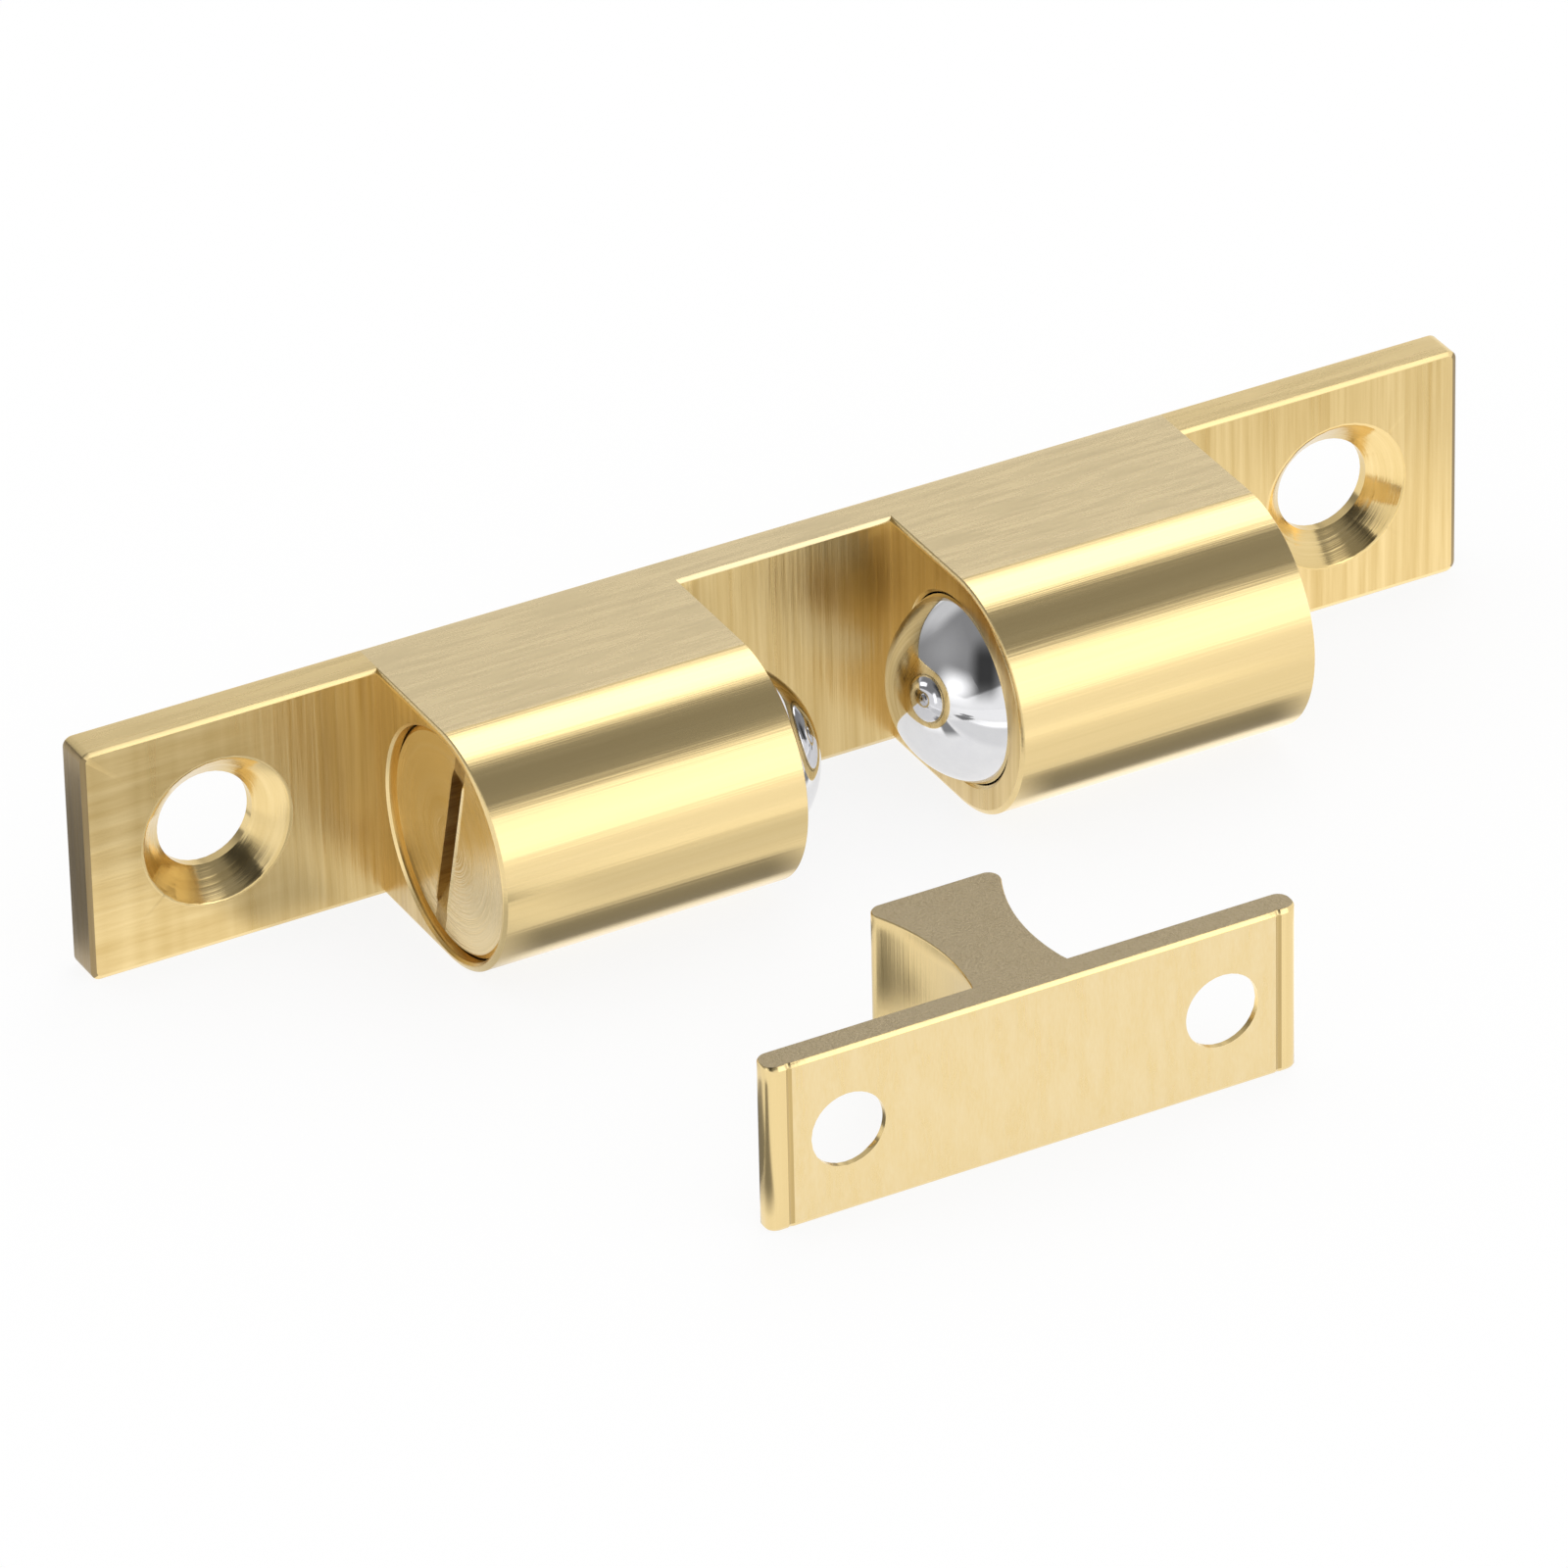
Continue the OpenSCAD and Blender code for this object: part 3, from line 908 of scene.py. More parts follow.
@dataclass
class Screws:
    """Two slotted headless screws that close the barrels and set the springs.

    The burr's columns stand at steps of its width from the slot's wall, and the inner face has rings at
    shares of its radius.
    """

    BURR_STEPS: ClassVar[tuple[float, ...]] = (0.0, 0.5, 1.0, 2.0, 3.0)
    BACK_SHARES: ClassVar[tuple[float, ...]] = (1.0, 0.6, 0.3, 0.0)

    chamfer: float = 0.2
    slot_width: float = 0.8
    slot_depth: float = 0.9
    slot_length: float = 7.0
    left_slot_angle: float = 15.0
    right_slot_angle: float = -35.0
    thread_pitch: float = 0.75
    thread_depth: float = 0.16
    thread_run_out: float = 0.15
    burr_height: float = 0.05
    burr_width: float = 0.07
    burr_full_depth: float = 0.15
    burr_margin: float = 0.3
    face_columns: int = 44
    face_rows: int = 61
    slot_samples: int = 7
    thread_samples: int = 40

    def __post_init__(self) -> None:
        """Sets the finishes of the turned face, the thread and the sawn slot."""
        low, high = box_mm("left_adjusting_screw")
        self.axis_y = (low[1] + high[1]) / 2
        axis = dict(origin=(0.0, self.axis_y, 0.0))
        self.face = Finish("turned_screw_face", light=BRASS_PALE, dark=BRASS_MID, roughness=(0.16, 0.26),
                           lay=Lay.RINGS_ABOUT_X, line_width=0.10, line_length=7, line_depth=0.012, **axis)
        # The slot takes darker brass than the face: painted shade in the recess, over its real sawn grain.
        self.slot = Finish("sawn_slot_painted_shade", light=BRASS_DEEP, dark=SLOT_PAINTED_SHADE, roughness=(0.34, 0.48),
                           lay=Lay.ALONG_X, line_width=0.1, line_length=1.0, line_depth=0.012)
        self.thread = Finish("screw_thread", light=BRASS_MID, dark=BRASS_DEEP, roughness=(0.22, 0.34),
                             lay=Lay.ALONG_X, line_width=0.1, line_length=0.5, line_depth=0.006)

    def face_grid(self, radius: float) -> tuple[Array, Array, Array]:
        """Lays a grid across and along the slot over the screw's round face.

        Columns stand at u = radius * sin(p), with more of them at the slot's walls, and points along a column
        at v = t * sqrt(radius^2 - u^2). A point inside the slot lies on the saw's circle, and a burr stands
        along the slot's edges.

        Args:
            radius: Radius of the face inside its chamfer.

        Returns:
            Arrays of u, v and the depth below the face, each (columns, rows).
        """
        half = self.slot_width / 2
        edge = half + self.burr_width * np.array(self.BURR_STEPS)
        nearest = np.arcsin((edge[-1] + self.burr_margin) / radius)
        outer = radius * np.sin(spread(nearest, np.pi / 2, self.face_columns // 2))
        floor = spread(-half, half, self.slot_samples)
        columns = np.concatenate([-outer[::-1], -edge[::-1], floor, edge, outer])
        beside = len(outer) + len(edge)
        in_slot = np.zeros(len(columns), dtype=bool)
        in_slot[beside:-beside] = True
        rows = np.sin(spread(-np.pi / 2, np.pi / 2, self.face_rows))
        u = np.broadcast_to(columns[:, None], (len(columns), len(rows)))
        v = rows[None, :] * np.sqrt(np.maximum(radius**2 - u**2, 0))
        saw = ((self.slot_length / 2) ** 2 + self.slot_depth**2) / (2 * self.slot_depth)
        floor_depth = np.maximum(self.slot_depth - saw + np.sqrt(saw**2 - v**2), 0)
        cut = np.clip(floor_depth / self.burr_full_depth, 0, 1)
        burr = -self.burr_height * cut * np.exp(-(((np.abs(u) - half) / self.burr_width) ** 2))
        depth = np.where(in_slot[:, None], floor_depth, burr)
        return u, v, depth

    def build(self, side: int) -> bpy.types.Object:
        """Makes one screw: slotted face, chamfer, threaded side and plain inner face.

        The thread is a helix: its depth is a wave of the distance along the screw minus the share of a turn.

        Args:
            side: LEFT or RIGHT.

        Returns:
            The finished piece.
        """
        node = f"{SIDE_NAMES[side]}_adjusting_screw"
        low, high = box_mm(node)
        outer_x, inner_x = (low[0], high[0]) if side == LEFT else (high[0], low[0])
        length = high[0] - low[0]
        radius = (high[2] - low[2]) / 2
        lean = math.radians(self.left_slot_angle if side == LEFT else self.right_slot_angle)
        inward = 1 if side == LEFT else -1

        def place(distance: Union[float, Array], u: Array, v: Array) -> Array:
            """Puts points at a depth below the face, u across the slot and v along it."""
            across = u * math.cos(lean) - v * math.sin(lean)
            up = u * math.sin(lean) + v * math.cos(lean)
            return at(outer_x + inward * distance, self.axis_y + inward * across, up)

        u, v, depth = self.face_grid(radius - self.chamfer)
        skin = Skin()
        walls = np.flatnonzero(np.isclose(np.abs(u[:, 0]), self.slot_width / 2))
        first, last = walls[0], walls[-1]
        points = place(depth, u, v)
        skin.loft(points[: first + 1], self.face)
        skin.loft(points[first : last + 1], self.slot)
        skin.loft(points[last:], self.face)
        border_u = np.concatenate([u[:, -1], u[::-1, 0]])
        border_v = np.concatenate([v[:, -1], v[::-1, 0]])
        angle = np.arctan2(border_v, border_u)
        stations = spread(self.chamfer, length - self.chamfer, self.thread_samples)[:, None]
        wave = stations / self.thread_pitch - angle[None, :] / (2 * np.pi)
        from_end = np.minimum(stations - self.chamfer, length - self.chamfer - stations)
        fade = np.clip(from_end / self.thread_run_out, 0, 1)
        threaded = radius - self.thread_depth * fade * np.abs(2 * (wave - np.floor(wave + 0.5)))
        side_rings = place(stations, threaded * np.cos(angle), threaded * np.sin(angle))
        face_ring = place(np.zeros_like(angle), border_u, border_v)
        shares = np.array(self.BACK_SHARES)[:, None] * (radius - self.chamfer)
        back = place(np.full((len(shares), 1), length), shares * np.cos(angle), shares * np.sin(angle))
        rings = np.concatenate([face_ring[None], side_rings, back])
        skin.loft(rings, [self.face, *[self.thread] * (len(rings) - 2)], closed=True)
        piece = skin.to_object(f"{node}_turned")
        place_piece(piece, node, node)
        return piece


@dataclass
class Strike:
    """Strike: a flat plate with two screw holes and a waisted prong, cut from one extrusion."""

    plate: float = 1.2
    end_radius: float = 0.5
    groove_place: float = 1.0
    groove_width: float = 0.24
    groove_depth: float = 0.05
    front_bevel: float = 0.2
    burr_edge: float = 0.07
    bevel_share: float = 0.62
    hole_land: float = 0.25
    head_half: float = 2.71
    waist_half: float = 1.75
    waist_rise: float = 2.1
    head_corner: float = 0.5
    upright_samples: int = 11
    front_samples: int = 15
    groove_samples: int = 11
    rear_samples: int = 12
    end_samples: int = 8
    flank_samples: int = 26
    corner_samples: int = 12
    crown_samples: int = 4
    edge_samples: int = 6

    def __post_init__(self) -> None:
        """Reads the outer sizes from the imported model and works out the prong's arcs."""
        low, high = box_mm("strike")
        self.middle_x = (low[0] + high[0]) / 2
        self.front_y = low[1]
        self.bottom, self.top = low[2], high[2]
        self.half_length = (high[0] - low[0]) / 2
        self.prong_end = high[1] - low[1]
        dims = mount_dims("strike_screw_holes")
        self.hole_position = dims["spacing_x_mm"] / 2
        self.hole_radius = dims["hole_r_mm"]
        self.flat_end = self.half_length - self.groove_place
        self.waist_y = self.plate + self.waist_rise
        self.corner_x = self.head_half - self.head_corner
        self.corner_y = self.prong_end - self.head_corner
        rise = self.corner_y - self.waist_y
        self.flank_radius = (rise**2 + (self.corner_x - self.waist_half) ** 2 - self.head_corner**2) / (
            2 * (self.head_half - self.waist_half)
        )
        self.flank_x = self.waist_half + self.flank_radius
        self.foot_x = self.flank_x - math.sqrt(self.flank_radius**2 - self.waist_rise**2)
        self.lean = math.atan2(rise, self.flank_x - self.corner_x)
        holes = dict(origin=(self.middle_x, 0.0, (self.bottom + self.top) / 2), spacing=self.hole_position)
        self.front = Finish("strike_front_brass", light=BRASS_PALE, dark=BRASS_MID, roughness=(0.26, 0.34),
                            lay=Lay.ALONG_Z, line_width=0.09, line_length=0.4, line_depth=0.0008)
        self.drawn = Finish("strike_drawn_brass", light=BRASS_LIGHT, dark=BRASS_MID, roughness=(0.15, 0.24),
                            lay=Lay.ALONG_Z, line_width=0.12, line_length=9, line_depth=0.0018)
        # The groove's relief is real; its dark tones are painted shade, the dark line beside each rounded end.
        self.groove = Finish("strike_groove_painted_shade", light=BRASS_DEEP, dark=BRASS_PAINTED_GROOVE_SHADE,
                             roughness=(0.22, 0.32), lay=Lay.ALONG_Z, line_width=0.12, line_length=9,
                             line_depth=0.004)
        self.sawn = Finish("strike_sawn_brass", light=SAWN_LIGHT, dark=SAWN_DARK, roughness=(0.32, 0.44),
                           lay=Lay.GRIT, line_width=0.13, line_length=0.13, line_depth=0.020)
        self.turned = Finish("strike_hole_brass", light=BRASS_LIGHT, dark=BRASS_DEEP, roughness=(0.16, 0.28),
                             lay=Lay.RINGS_ABOUT_Y, line_width=0.1, line_length=6, line_depth=0.006, **holes)

    def half_section(self) -> tuple[Array, Array, int, int]:
        """Right half of the section as (x, y), from the middle of the front to the middle of the prong's end.

        It runs along the front, through the die's groove, round the plate's end, along the rear, up the flank
        arc with its waist, and round the head's corner. The groove is groove_depth * sin(pi t)^2 deep, for t
        from 0 to 1 across its width.

        Returns:
            The points, the edge round of each point, and where the rear line starts and ends.
        """
        tangent = self.half_length - self.end_radius
        front = pair(spread(0, self.flat_end, self.front_samples), 0.0)
        share = spread(0, 1, self.groove_samples)[1:]
        groove_y = self.groove_depth * np.sin(np.pi * share) ** 2
        groove = pair(self.flat_end + self.groove_width * share, groove_y)
        turn = fillet_steps(self.end_samples)
        lower = pair(tangent + self.end_radius * np.sin(turn), self.end_radius * (1 - np.cos(turn)))
        upper = lower[::-1] * (1, -1) + (0, self.plate)
        rear = pair(spread(tangent, self.foot_x, self.rear_samples), self.plate)
        foot = math.asin(self.waist_rise / self.flank_radius)
        sweep = spread(-foot, self.lean, self.flank_samples)
        flank_y = self.waist_y + self.flank_radius * np.sin(sweep)
        flank = pair(self.flank_x - self.flank_radius * np.cos(sweep), flank_y)
        bend = spread(-self.lean, np.pi / 2, self.corner_samples)
        corner_y = self.corner_y + self.head_corner * np.sin(bend)
        corner = pair(self.corner_x + self.head_corner * np.cos(bend), corner_y)
        crown = pair(np.append(inner(self.corner_x, 0, self.crown_samples), 0.0), self.prong_end)
        pieces = [front, groove, lower, upper, rear[1:], flank[1:], corner[1:], crown]
        start = len(front) + len(groove) + len(lower) + len(upper) - 1
        points = np.concatenate(pieces)
        height = points[:, 1]
        blend = np.clip(1 - height / self.end_radius, 0, 1) ** 2
        rounds = self.burr_edge + (self.front_bevel - self.burr_edge) * blend
        return points, rounds, start, start + len(rear) - 1

    def outward(self, loop: Array) -> Array:
        """Gives the outward unit normals of a closed loop (n, 2) that runs anticlockwise."""
        along = np.roll(loop, -1, axis=0) - np.roll(loop, 1, axis=0)
        along /= np.linalg.norm(along, axis=1, keepdims=True)
        return pair(along[:, 1], -along[:, 0])

    def at_section(self, section: Array, z: Union[float, Array]) -> Array:
        """Puts section points (..., 2) at a height, in the place where the strike lies."""
        return at(self.middle_x + section[..., 0], self.front_y + section[..., 1], z)

    def add_hole(self, skin: Skin, side: int, rear_from: float) -> None:
        """Closes the plate round one hole: front band, land, countersink towards the prong, and rear band.

        A band runs from a rectangle to a circle with its points at the rectangle's angles.

        Args:
            skin: The skin of the strike.
            side: LEFT or RIGHT.
            rear_from: Where the rear band starts along X, at the prong's foot.
        """
        tangent = self.half_length - self.end_radius
        middle_z = (self.bottom + self.top) / 2

        def border(low_x: float, high_x: float, count: int, edge: float) -> Array:
            """Gives the rectangle's border as (x, z), starting at its lower inner corner."""
            run = spread(low_x, high_x, count)
            rise = spread(self.bottom + edge, self.top - edge, self.upright_samples)
            return np.concatenate([
                pair(run[:-1], rise[0]),
                pair(high_x, rise[:-1]),
                pair(run[:0:-1], rise[-1]),
                pair(low_x, rise[:0:-1]),
            ])

        def circle(radius: float, y: float, angle: Array) -> Array:
            """Gives a circle about the hole at a height above the mounting face."""
            section = pair(side * (self.hole_position + radius * np.cos(angle)), y)
            return self.at_section(section, middle_z + radius * np.sin(angle))

        def plane(outline: Array, y: float) -> Array:
            """Puts a rectangle's border at a height above the mounting face."""
            section = pair(side * outline[:, 0], y)
            return self.at_section(section, outline[:, 1])

        def angles(outline: Array) -> Array:
            """Gives the angle of each border point about the hole."""
            return np.arctan2(outline[:, 1] - middle_z, outline[:, 0] - self.hole_position)

        front = border(0.0, self.flat_end, self.front_samples, self.front_bevel)
        rear = border(rear_from, tangent, self.rear_samples, self.burr_edge)
        sink_radius = self.hole_radius + self.plate - self.hole_land
        front_rim = circle(self.hole_radius, 0.0, angles(front))
        rear_rim = circle(sink_radius, self.plate, angles(rear))
        skin.loft(np.stack([plane(front, 0.0), front_rim]), self.front, closed=True)
        skin.loft(np.stack([plane(rear, self.plate), rear_rim]), self.drawn, closed=True)
        land = circle(self.hole_radius, self.hole_land, angles(front))
        skin.loft(np.stack([front_rim, land]), self.turned, closed=True)
        self.bridge(skin, land, rear_rim, self.turned)

    def bridge(self, skin: Skin, lower: Array, upper: Array, finish: Finish) -> None:
        """Joins two circles with different numbers of points by one cone.

        Both are walked once round in order of angle, and each step of either one makes a triangle.

        Args:
            skin: The skin of the strike.
            lower: Points of one circle.
            upper: Points of the other circle.
            finish: The finish of the cone.
        """
        first, second = skin.add(lower), skin.add(upper)
        share_a = np.arange(1, len(first) + 1) / len(first)
        share_b = np.arange(1, len(second) + 1) / len(second)
        order = np.argsort(np.concatenate([share_a, share_b]), kind="stable")
        from_a = order < len(first)
        a = np.concatenate([[0], np.cumsum(from_a)])
        b = np.concatenate([[0], np.cumsum(~from_a)])
        ring_a, ring_b = np.append(first, first[0]), np.append(second, second[0])
        next_a = ring_a[np.minimum(a[1:], len(first))]
        next_b = ring_b[np.minimum(b[1:], len(second))]
        third = np.where(from_a, next_a, next_b)
        triangles = np.stack([ring_a[a[:-1]], ring_b[b[:-1]], third], axis=-1)
        skin.faces += triangles.tolist()
        skin.marks += [skin.number(finish)] * len(triangles)

    def build(self) -> bpy.types.Object:
        """Carries the section up from the bottom to the top, rounds its cut edges and opens its two holes.

        Returns:
            The finished piece.
        """
        half, rounds, rear_start, rear_end = self.half_section()
        loop = np.concatenate([half, half[-2:0:-1] * (-1, 1)])
        edge = np.concatenate([rounds, rounds[-2:0:-1]])
        normal = self.outward(loop)
        skin = Skin()
        inset, fall = (share[:, None] for share in soft_chamfer(self.edge_samples))
        for limit, up in ((self.top, -1), (self.bottom, 1)):
            moved = loop[None] - normal[None] * (self.bevel_share * edge * inset)[..., None]
            rings = self.at_section(moved, limit + up * edge * fall)
            skin.loft(rings, self.drawn, closed=True)
            skin.cap(rings[-1], self.sawn)
        share = spread(0, 1, self.upright_samples)[:, None]
        heights = self.bottom + edge + share * (self.top - self.bottom - 2 * edge)
        wall = self.at_section(np.broadcast_to(loop, (len(share), *loop.shape)), heights)
        count = len(half)
        front_end = self.front_samples - 1
        groove_end = front_end + self.groove_samples - 1
        parts = (
            (slice(front_end, groove_end + 1), self.groove),
            (slice(groove_end, rear_start + 1), self.drawn),
            (slice(rear_end, count), self.drawn),
        )
        for part, finish in parts:
            skin.loft(wall[:, part], finish)
            mirrored = (len(loop) - np.arange(count)[part]) % len(loop)
            skin.loft(wall[:, mirrored], finish)
        for side in (LEFT, RIGHT):
            self.add_hole(skin, side, self.foot_x)
        piece = skin.to_object("brass_strike")
        place_piece(piece, "strike", "strike")
        # The case shows no reflection of the strike in the photograph.
        piece.visible_glossy = False
        return piece


class Hang(Enum):
    """How a panel hangs: facing the object along the case, facing it level, or flat on the floor."""

    ALONG_CASE = "along the case"
    LEVEL = "level"
    FLOOR = "flat on the floor"


@dataclass(frozen=True)
class Panel:
    """A flat panel with soft edges, with its middle, length and width in metres.

    A softbox gives light, and a card only shows in what the metal mirrors. The tone is how bright its face
    is, where 1 is white, and over the share fade of each half it fades out to its edges.
    """

    name: str
    place: Point
    size: tuple[float, float]
    tone: float
    hang: Hang = Hang.ALONG_CASE
    fade: float = 0.4

    def axes(self) -> tuple[Vector, Vector]:
        """Works out how the panel is turned.

        Returns:
            Its long axis and its short axis.
        """
        if self.hang is Hang.FLOOR:
            return Vector((1, 0, 0)), Vector((0, 1, 0))
        toward = -Vector(self.place).normalized()
        guide = Vector((1, 0, 0)) if self.hang is Hang.ALONG_CASE else toward.cross(Vector((0, 0, 1)))
        level = (guide - toward * guide.dot(toward)).normalized()
        return level, toward.cross(level)


SQUARE = np.array([(-1, -1), (1, -1), (1, 1), (-1, 1)])
WHITE = (1, 1, 1, 1)
SOFTBOXES = (
    Panel("back_softbox", (0.26, 0.263, 0.539), (0.30, 0.53), 2.4, fade=0.6),
    Panel("front_softbox", (0.262, -0.535, 0.256), (0.28, 0.64), 1.9, fade=0.6),
    Panel("left_softbox", (-0.617, -0.249, 0.216), (0.76, 0.58), 1.5, Hang.LEVEL, fade=1.0),
)
CARDS = (
    Panel("ceiling_card", (-0.25, 0.05, 0.95), (4.8, 4.2), 0.28, Hang.LEVEL, fade=0.15),
    Panel("left_ceiling_card", (-0.62, 0.20, 0.62), (1.3, 1.1), 0.38, Hang.LEVEL, fade=1.0),
    Panel("camera_card", (-0.285, -0.442, 0.490), (0.60, 1.30), 0.05, Hang.LEVEL, fade=0.8),
    Panel("back_card", (0.0, 0.71, 0.49), (1.5, 0.75), 0.68, fade=0.8),
    # Painted light: this card lies on the floor and glows brighter than it, a pool of light that only the
    # metal mirrors.
    Panel("front_floor_painted_light", (0.010, -0.090, -0.00498), (0.20, 0.14), 1.06, Hang.FLOOR, fade=0.2),
    # Painted shade: a patch on the floor a little darker than the floor, only mirrored by the metal.
    Panel("middle_floor_painted_shade", (-0.004, -0.0178, -0.00496), (0.021, 0.0095), 0.82, Hang.FLOOR),
    # Painted light: more glowing patches on the floor, brighter than it, that only the metal mirrors.
    Panel("near_floor_painted_light", (0.006, -0.0245, -0.00497), (0.042, 0.009), 1.28, Hang.FLOOR, fade=0.5),
    Panel("left_foot_painted_light", (-0.0275, -0.0042, -0.00497), (0.011, 0.012), 1.15, Hang.FLOOR, fade=0.3),
    Panel("left_under_painted_light", (-0.0105, -0.0080, -0.00497), (0.015, 0.0045), 1.15, Hang.FLOOR, fade=0.3),
    Panel("right_foot_painted_light", (0.020, -0.0052, -0.00497), (0.034, 0.014), 1.25, Hang.FLOOR, fade=0.3),
    # Painted shadows: dark patches on the floor round the case and strike, only mirrored by the metal.
    Panel("left_screw_painted_shadow", (-0.0212, -0.0045, -0.00496), (0.0055, 0.0060), 0.60, Hang.FLOOR, fade=0.6),
    Panel("left_lug_painted_shadow", (-0.0215, -0.0118, -0.00496), (0.016, 0.0115), 0.60, Hang.FLOOR, fade=0.7),
    Panel("left_end_painted_shadow", (-0.0345, 0.007, -0.00496), (0.010, 0.016), 0.33, Hang.FLOOR),
    Panel("strike_painted_shadow", (-0.0175, -0.0235, -0.00496), (0.012, 0.009), 0.22, Hang.FLOOR),
    Panel("strike_end_painted_shadow", (-0.0230, -0.0292, -0.00496), (0.013, 0.006), 0.25, Hang.FLOOR),
    Panel("left_barrel_painted_shadow", (-0.0098, -0.01145, -0.00495), (0.0155, 0.0034), 0.27, Hang.FLOOR),
    Panel("right_barrel_painted_shadow", (0.0124, -0.01145, -0.00495), (0.0155, 0.0034), 0.27, Hang.FLOOR),
)


@dataclass
class Studio:
    """White floor, softboxes, grey cards for the metal to mirror, and the camera of the photograph.

    Places are in metres.
    """

    camera_place: Point = (-0.208363, -0.391981, 0.265827)
    camera_azimuth: float = -28.06
    camera_elevation: float = 31.52
    camera_roll: float = -1.309
    camera_lens: float = 308.52
    camera_sensor: float = 36.0
    camera_clip: tuple[float, float] = (0.01, 50.0)
    floor_size: float = 8.0
    floor_level: float = -0.005
    floor_white: float = 0.92
    seen_glow: float = 0.86
    mirrored_glow: float = 0.80
    sky_light: float = 0.99

    def add_camera(self) -> None:
        """Sets the camera where the photograph was taken from, turned by azimuth, elevation and roll."""
        around, up = math.radians(self.camera_azimuth), math.radians(self.camera_elevation)
        back = Vector((math.sin(around) * math.cos(up), -math.cos(around) * math.cos(up), math.sin(up)))
        level = Vector((0, 0, 1)).cross(back).normalized()
        upright = back.cross(level)
        roll = math.radians(self.camera_roll)
        right = level * math.cos(roll) + upright * math.sin(roll)
        top = back.cross(right)
        data = bpy.data.cameras.new("camera")
        data.lens, data.sensor_width = self.camera_lens, self.camera_sensor
        data.clip_start, data.clip_end = self.camera_clip
        camera = bpy.data.objects.new("camera", data)
        turned = Matrix((right, top, back)).transposed().to_4x4()
        camera.matrix_world = Matrix.Translation(self.camera_place) @ turned
        bpy.context.scene.collection.objects.link(camera)
        bpy.context.scene.camera = camera

    def add_sheet(self, name: str, corners: Array) -> tuple[bpy.types.Object, ShaderTree]:
        """Makes a flat sheet that belongs to the stage.

        Args:
            name: Name of the sheet.
            corners: Its four corners, (4, 3).

        Returns:
            The sheet and the empty node tree of its material.
        """
        mesh = bpy.data.meshes.new(name)
        mesh.from_pydata(corners.tolist(), [], [(0, 1, 2, 3)])
        mesh.uv_layers.new(name="UVMap").data.foreach_set("uv", (0, 0, 1, 0, 1, 1, 0, 1))
        material = bpy.data.materials.new(name)
        material.use_nodes = True
        material.node_tree.nodes.clear()
        mesh.materials.append(material)
        sheet = bpy.data.objects.new(name, mesh)
        bpy.context.scene.collection.objects.link(sheet)
        return sheet, ShaderTree(material.node_tree)

    def add_panel(self, panel: Panel, gives_light: bool) -> None:
        """Hangs a glowing panel that the camera doesn't see and that fades out towards its edges.

        Args:
            panel: The panel.
            gives_light: Whether it lights the floor, or is only mirrored.
        """
        corners = SQUARE * panel.size / 2 @ np.array(panel.axes())
        sheet, nodes = self.add_sheet(panel.name, corners + np.array(panel.place))
        place = nodes.node("ShaderNodeTexCoord").outputs["UV"]
        split = nodes.node("ShaderNodeSeparateXYZ", {"Vector": place})
        shares = []
        for axis in ("X", "Y"):
            from_edge = nodes.math("PINGPONG", split.outputs[axis], 0.5)
            reach = {"Value": from_edge, "From Max": panel.fade / 2}
            share = nodes.node("ShaderNodeMapRange", reach, interpolation_type="SMOOTHSTEP")
            shares.append(share.outputs["Result"])
        clear = nodes.node("ShaderNodeBsdfTransparent").outputs["BSDF"]
        glow = nodes.node("ShaderNodeEmission", {"Strength": panel.tone}).outputs["Emission"]
        nodes.end("ShaderNodeOutputMaterial", nodes.math("MULTIPLY", *shares), clear, glow)
        sheet.visible_camera = False
        sheet.visible_shadow = False
        sheet.visible_diffuse = gives_light

    def add_floor(self) -> None:
        """Lays the white floor: part of its white is its own for rays that look, the rest is lit."""
        corners = SQUARE * self.floor_size / 2
        _, nodes = self.add_sheet("floor", at(corners[:, 0], corners[:, 1], self.floor_level))
        color = (*[self.floor_white] * 3, 1)
        matte = nodes.node("ShaderNodeBsdfDiffuse", {"Color": color}).outputs["BSDF"]
        glow = nodes.node("ShaderNodeEmission").outputs["Emission"]
        paths = nodes.node("ShaderNodeLightPath").outputs
        seen = nodes.math("MULTIPLY", paths["Is Camera Ray"], self.seen_glow)
        looked = nodes.math("ADD", paths["Is Glossy Ray"], paths["Is Transmission Ray"])
        mirrored = nodes.math("MULTIPLY", looked, self.mirrored_glow)
        nodes.end("ShaderNodeOutputMaterial", nodes.math("ADD", seen, mirrored), matte, glow)

    def add_world(self) -> None:
        """Surrounds the object with white for rays that look, and with softer light for the rest."""
        world = bpy.data.worlds.new("studio")
        world.use_nodes = True
        world.node_tree.nodes.clear()
        nodes = ShaderTree(world.node_tree)
        white = nodes.node("ShaderNodeBackground", {"Color": WHITE}).outputs["Background"]
        sky = {"Color": WHITE, "Strength": self.sky_light}
        soft = nodes.node("ShaderNodeBackground", sky).outputs["Background"]
        paths = nodes.node("ShaderNodeLightPath").outputs
        looked = nodes.math("ADD", paths["Is Camera Ray"], paths["Is Glossy Ray"])
        share = nodes.math("ADD", looked, paths["Is Transmission Ray"])
        nodes.end("ShaderNodeOutputWorld", share, soft, white)
        bpy.context.scene.world = world

    def build(self) -> None:
        """Sets up the camera, the floor, the world, the softboxes and the cards."""
        bpy.context.scene.view_settings.view_transform = "Standard"
        self.add_camera()
        self.add_floor()
        self.add_world()
        for panel in SOFTBOXES:
            self.add_panel(panel, gives_light=True)
        for panel in CARDS:
            self.add_panel(panel, gives_light=False)
        log.info("studio: camera, floor, %d softboxes and %d cards", len(SOFTBOXES), len(CARDS))


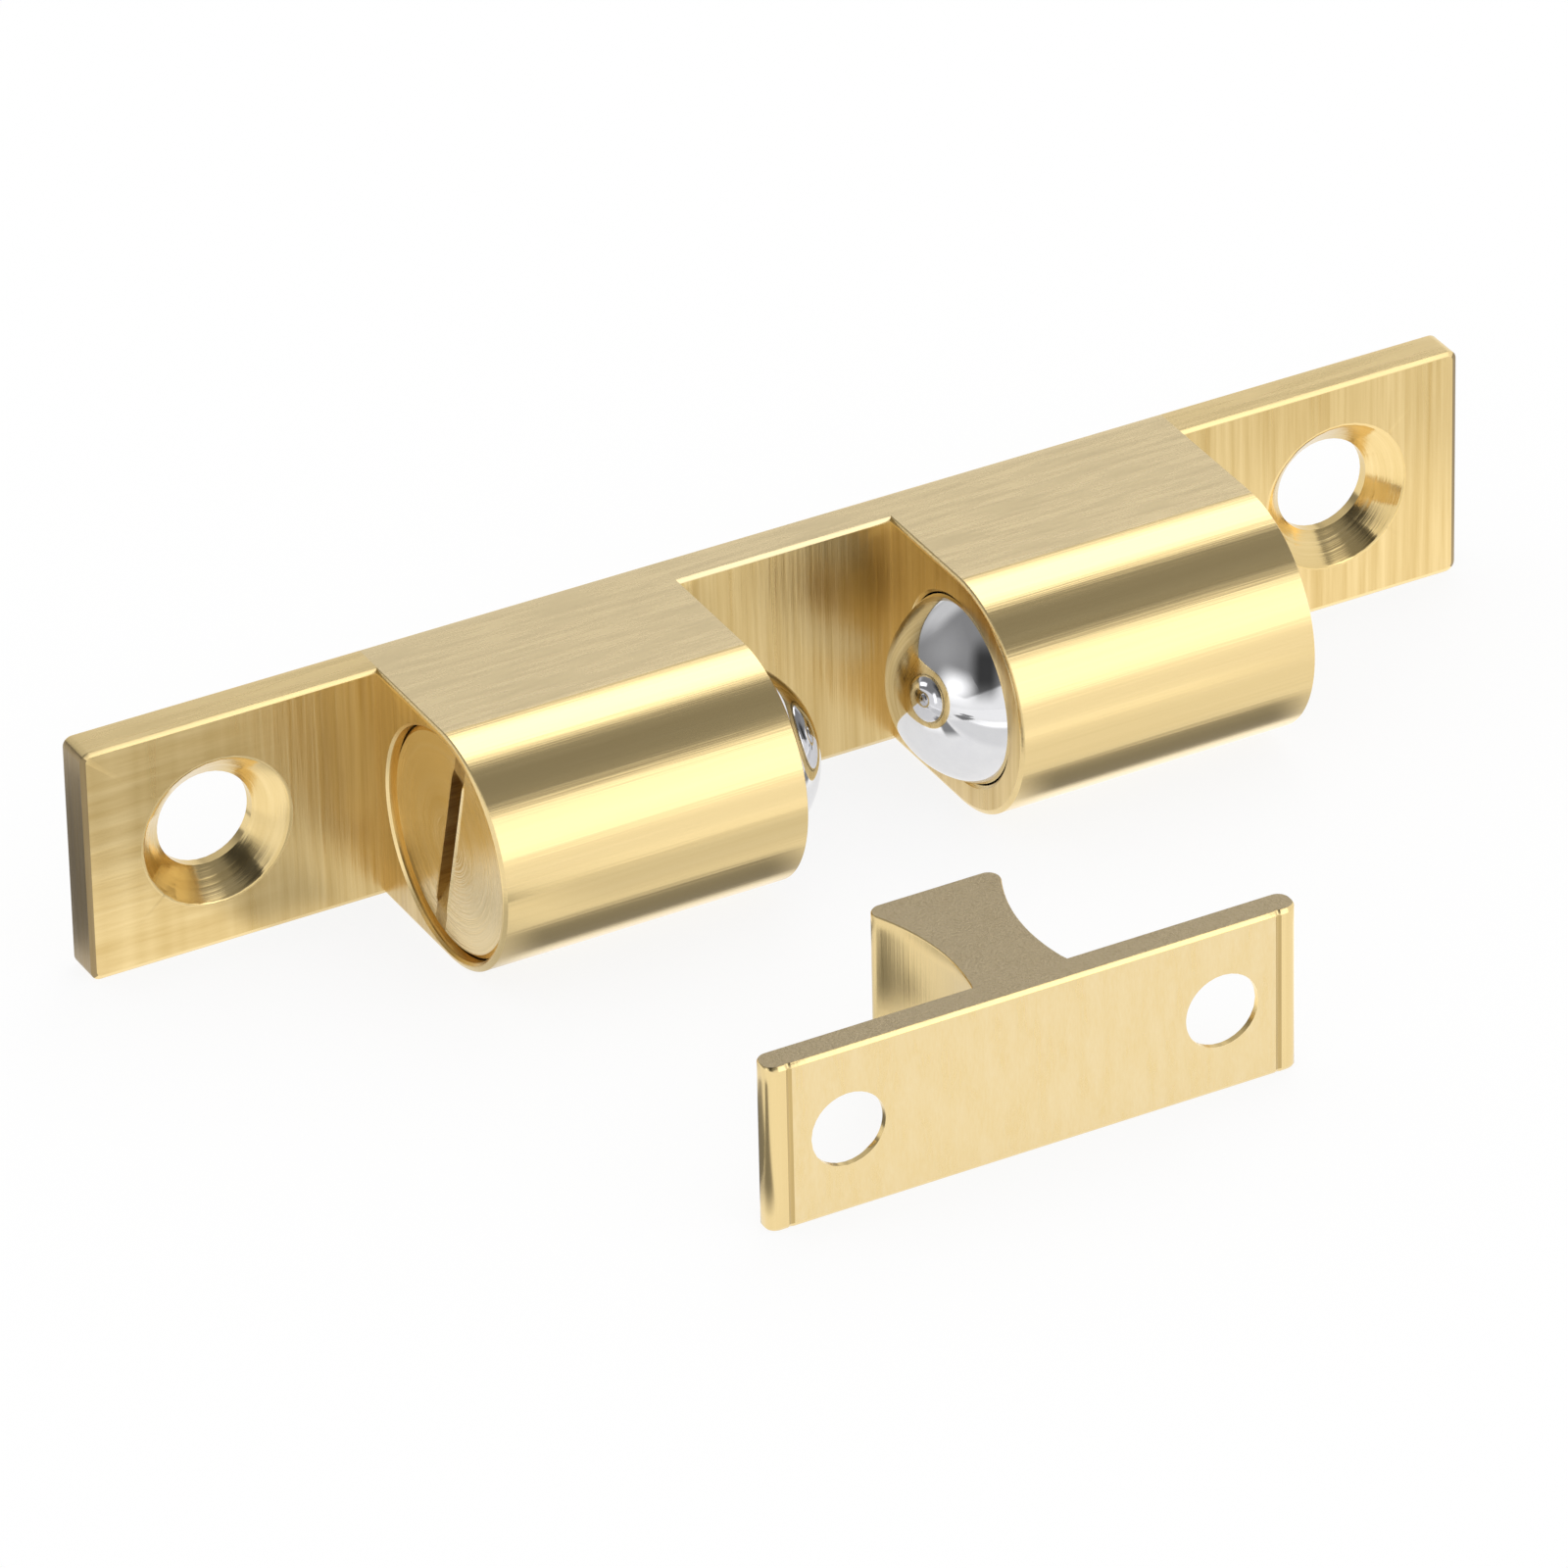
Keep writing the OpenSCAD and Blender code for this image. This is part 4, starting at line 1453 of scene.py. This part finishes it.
def main() -> None:
    """Builds every piece of the catch, then the studio around it."""
    logging.basicConfig(level=logging.INFO, format="%(name)s: %(message)s")
    balls, springs, screws = Balls(), Springs(), Screws()
    pieces = [Case().build()]
    for side in (LEFT, RIGHT):
        pieces += [group.build(side) for group in (balls, springs, screws)]
    pieces.append(Strike().build())
    for piece in pieces:
        log.info("%s: %d faces", piece.name, len(piece.data.polygons))
    Studio().build()


if __name__ == "__main__":
    main()
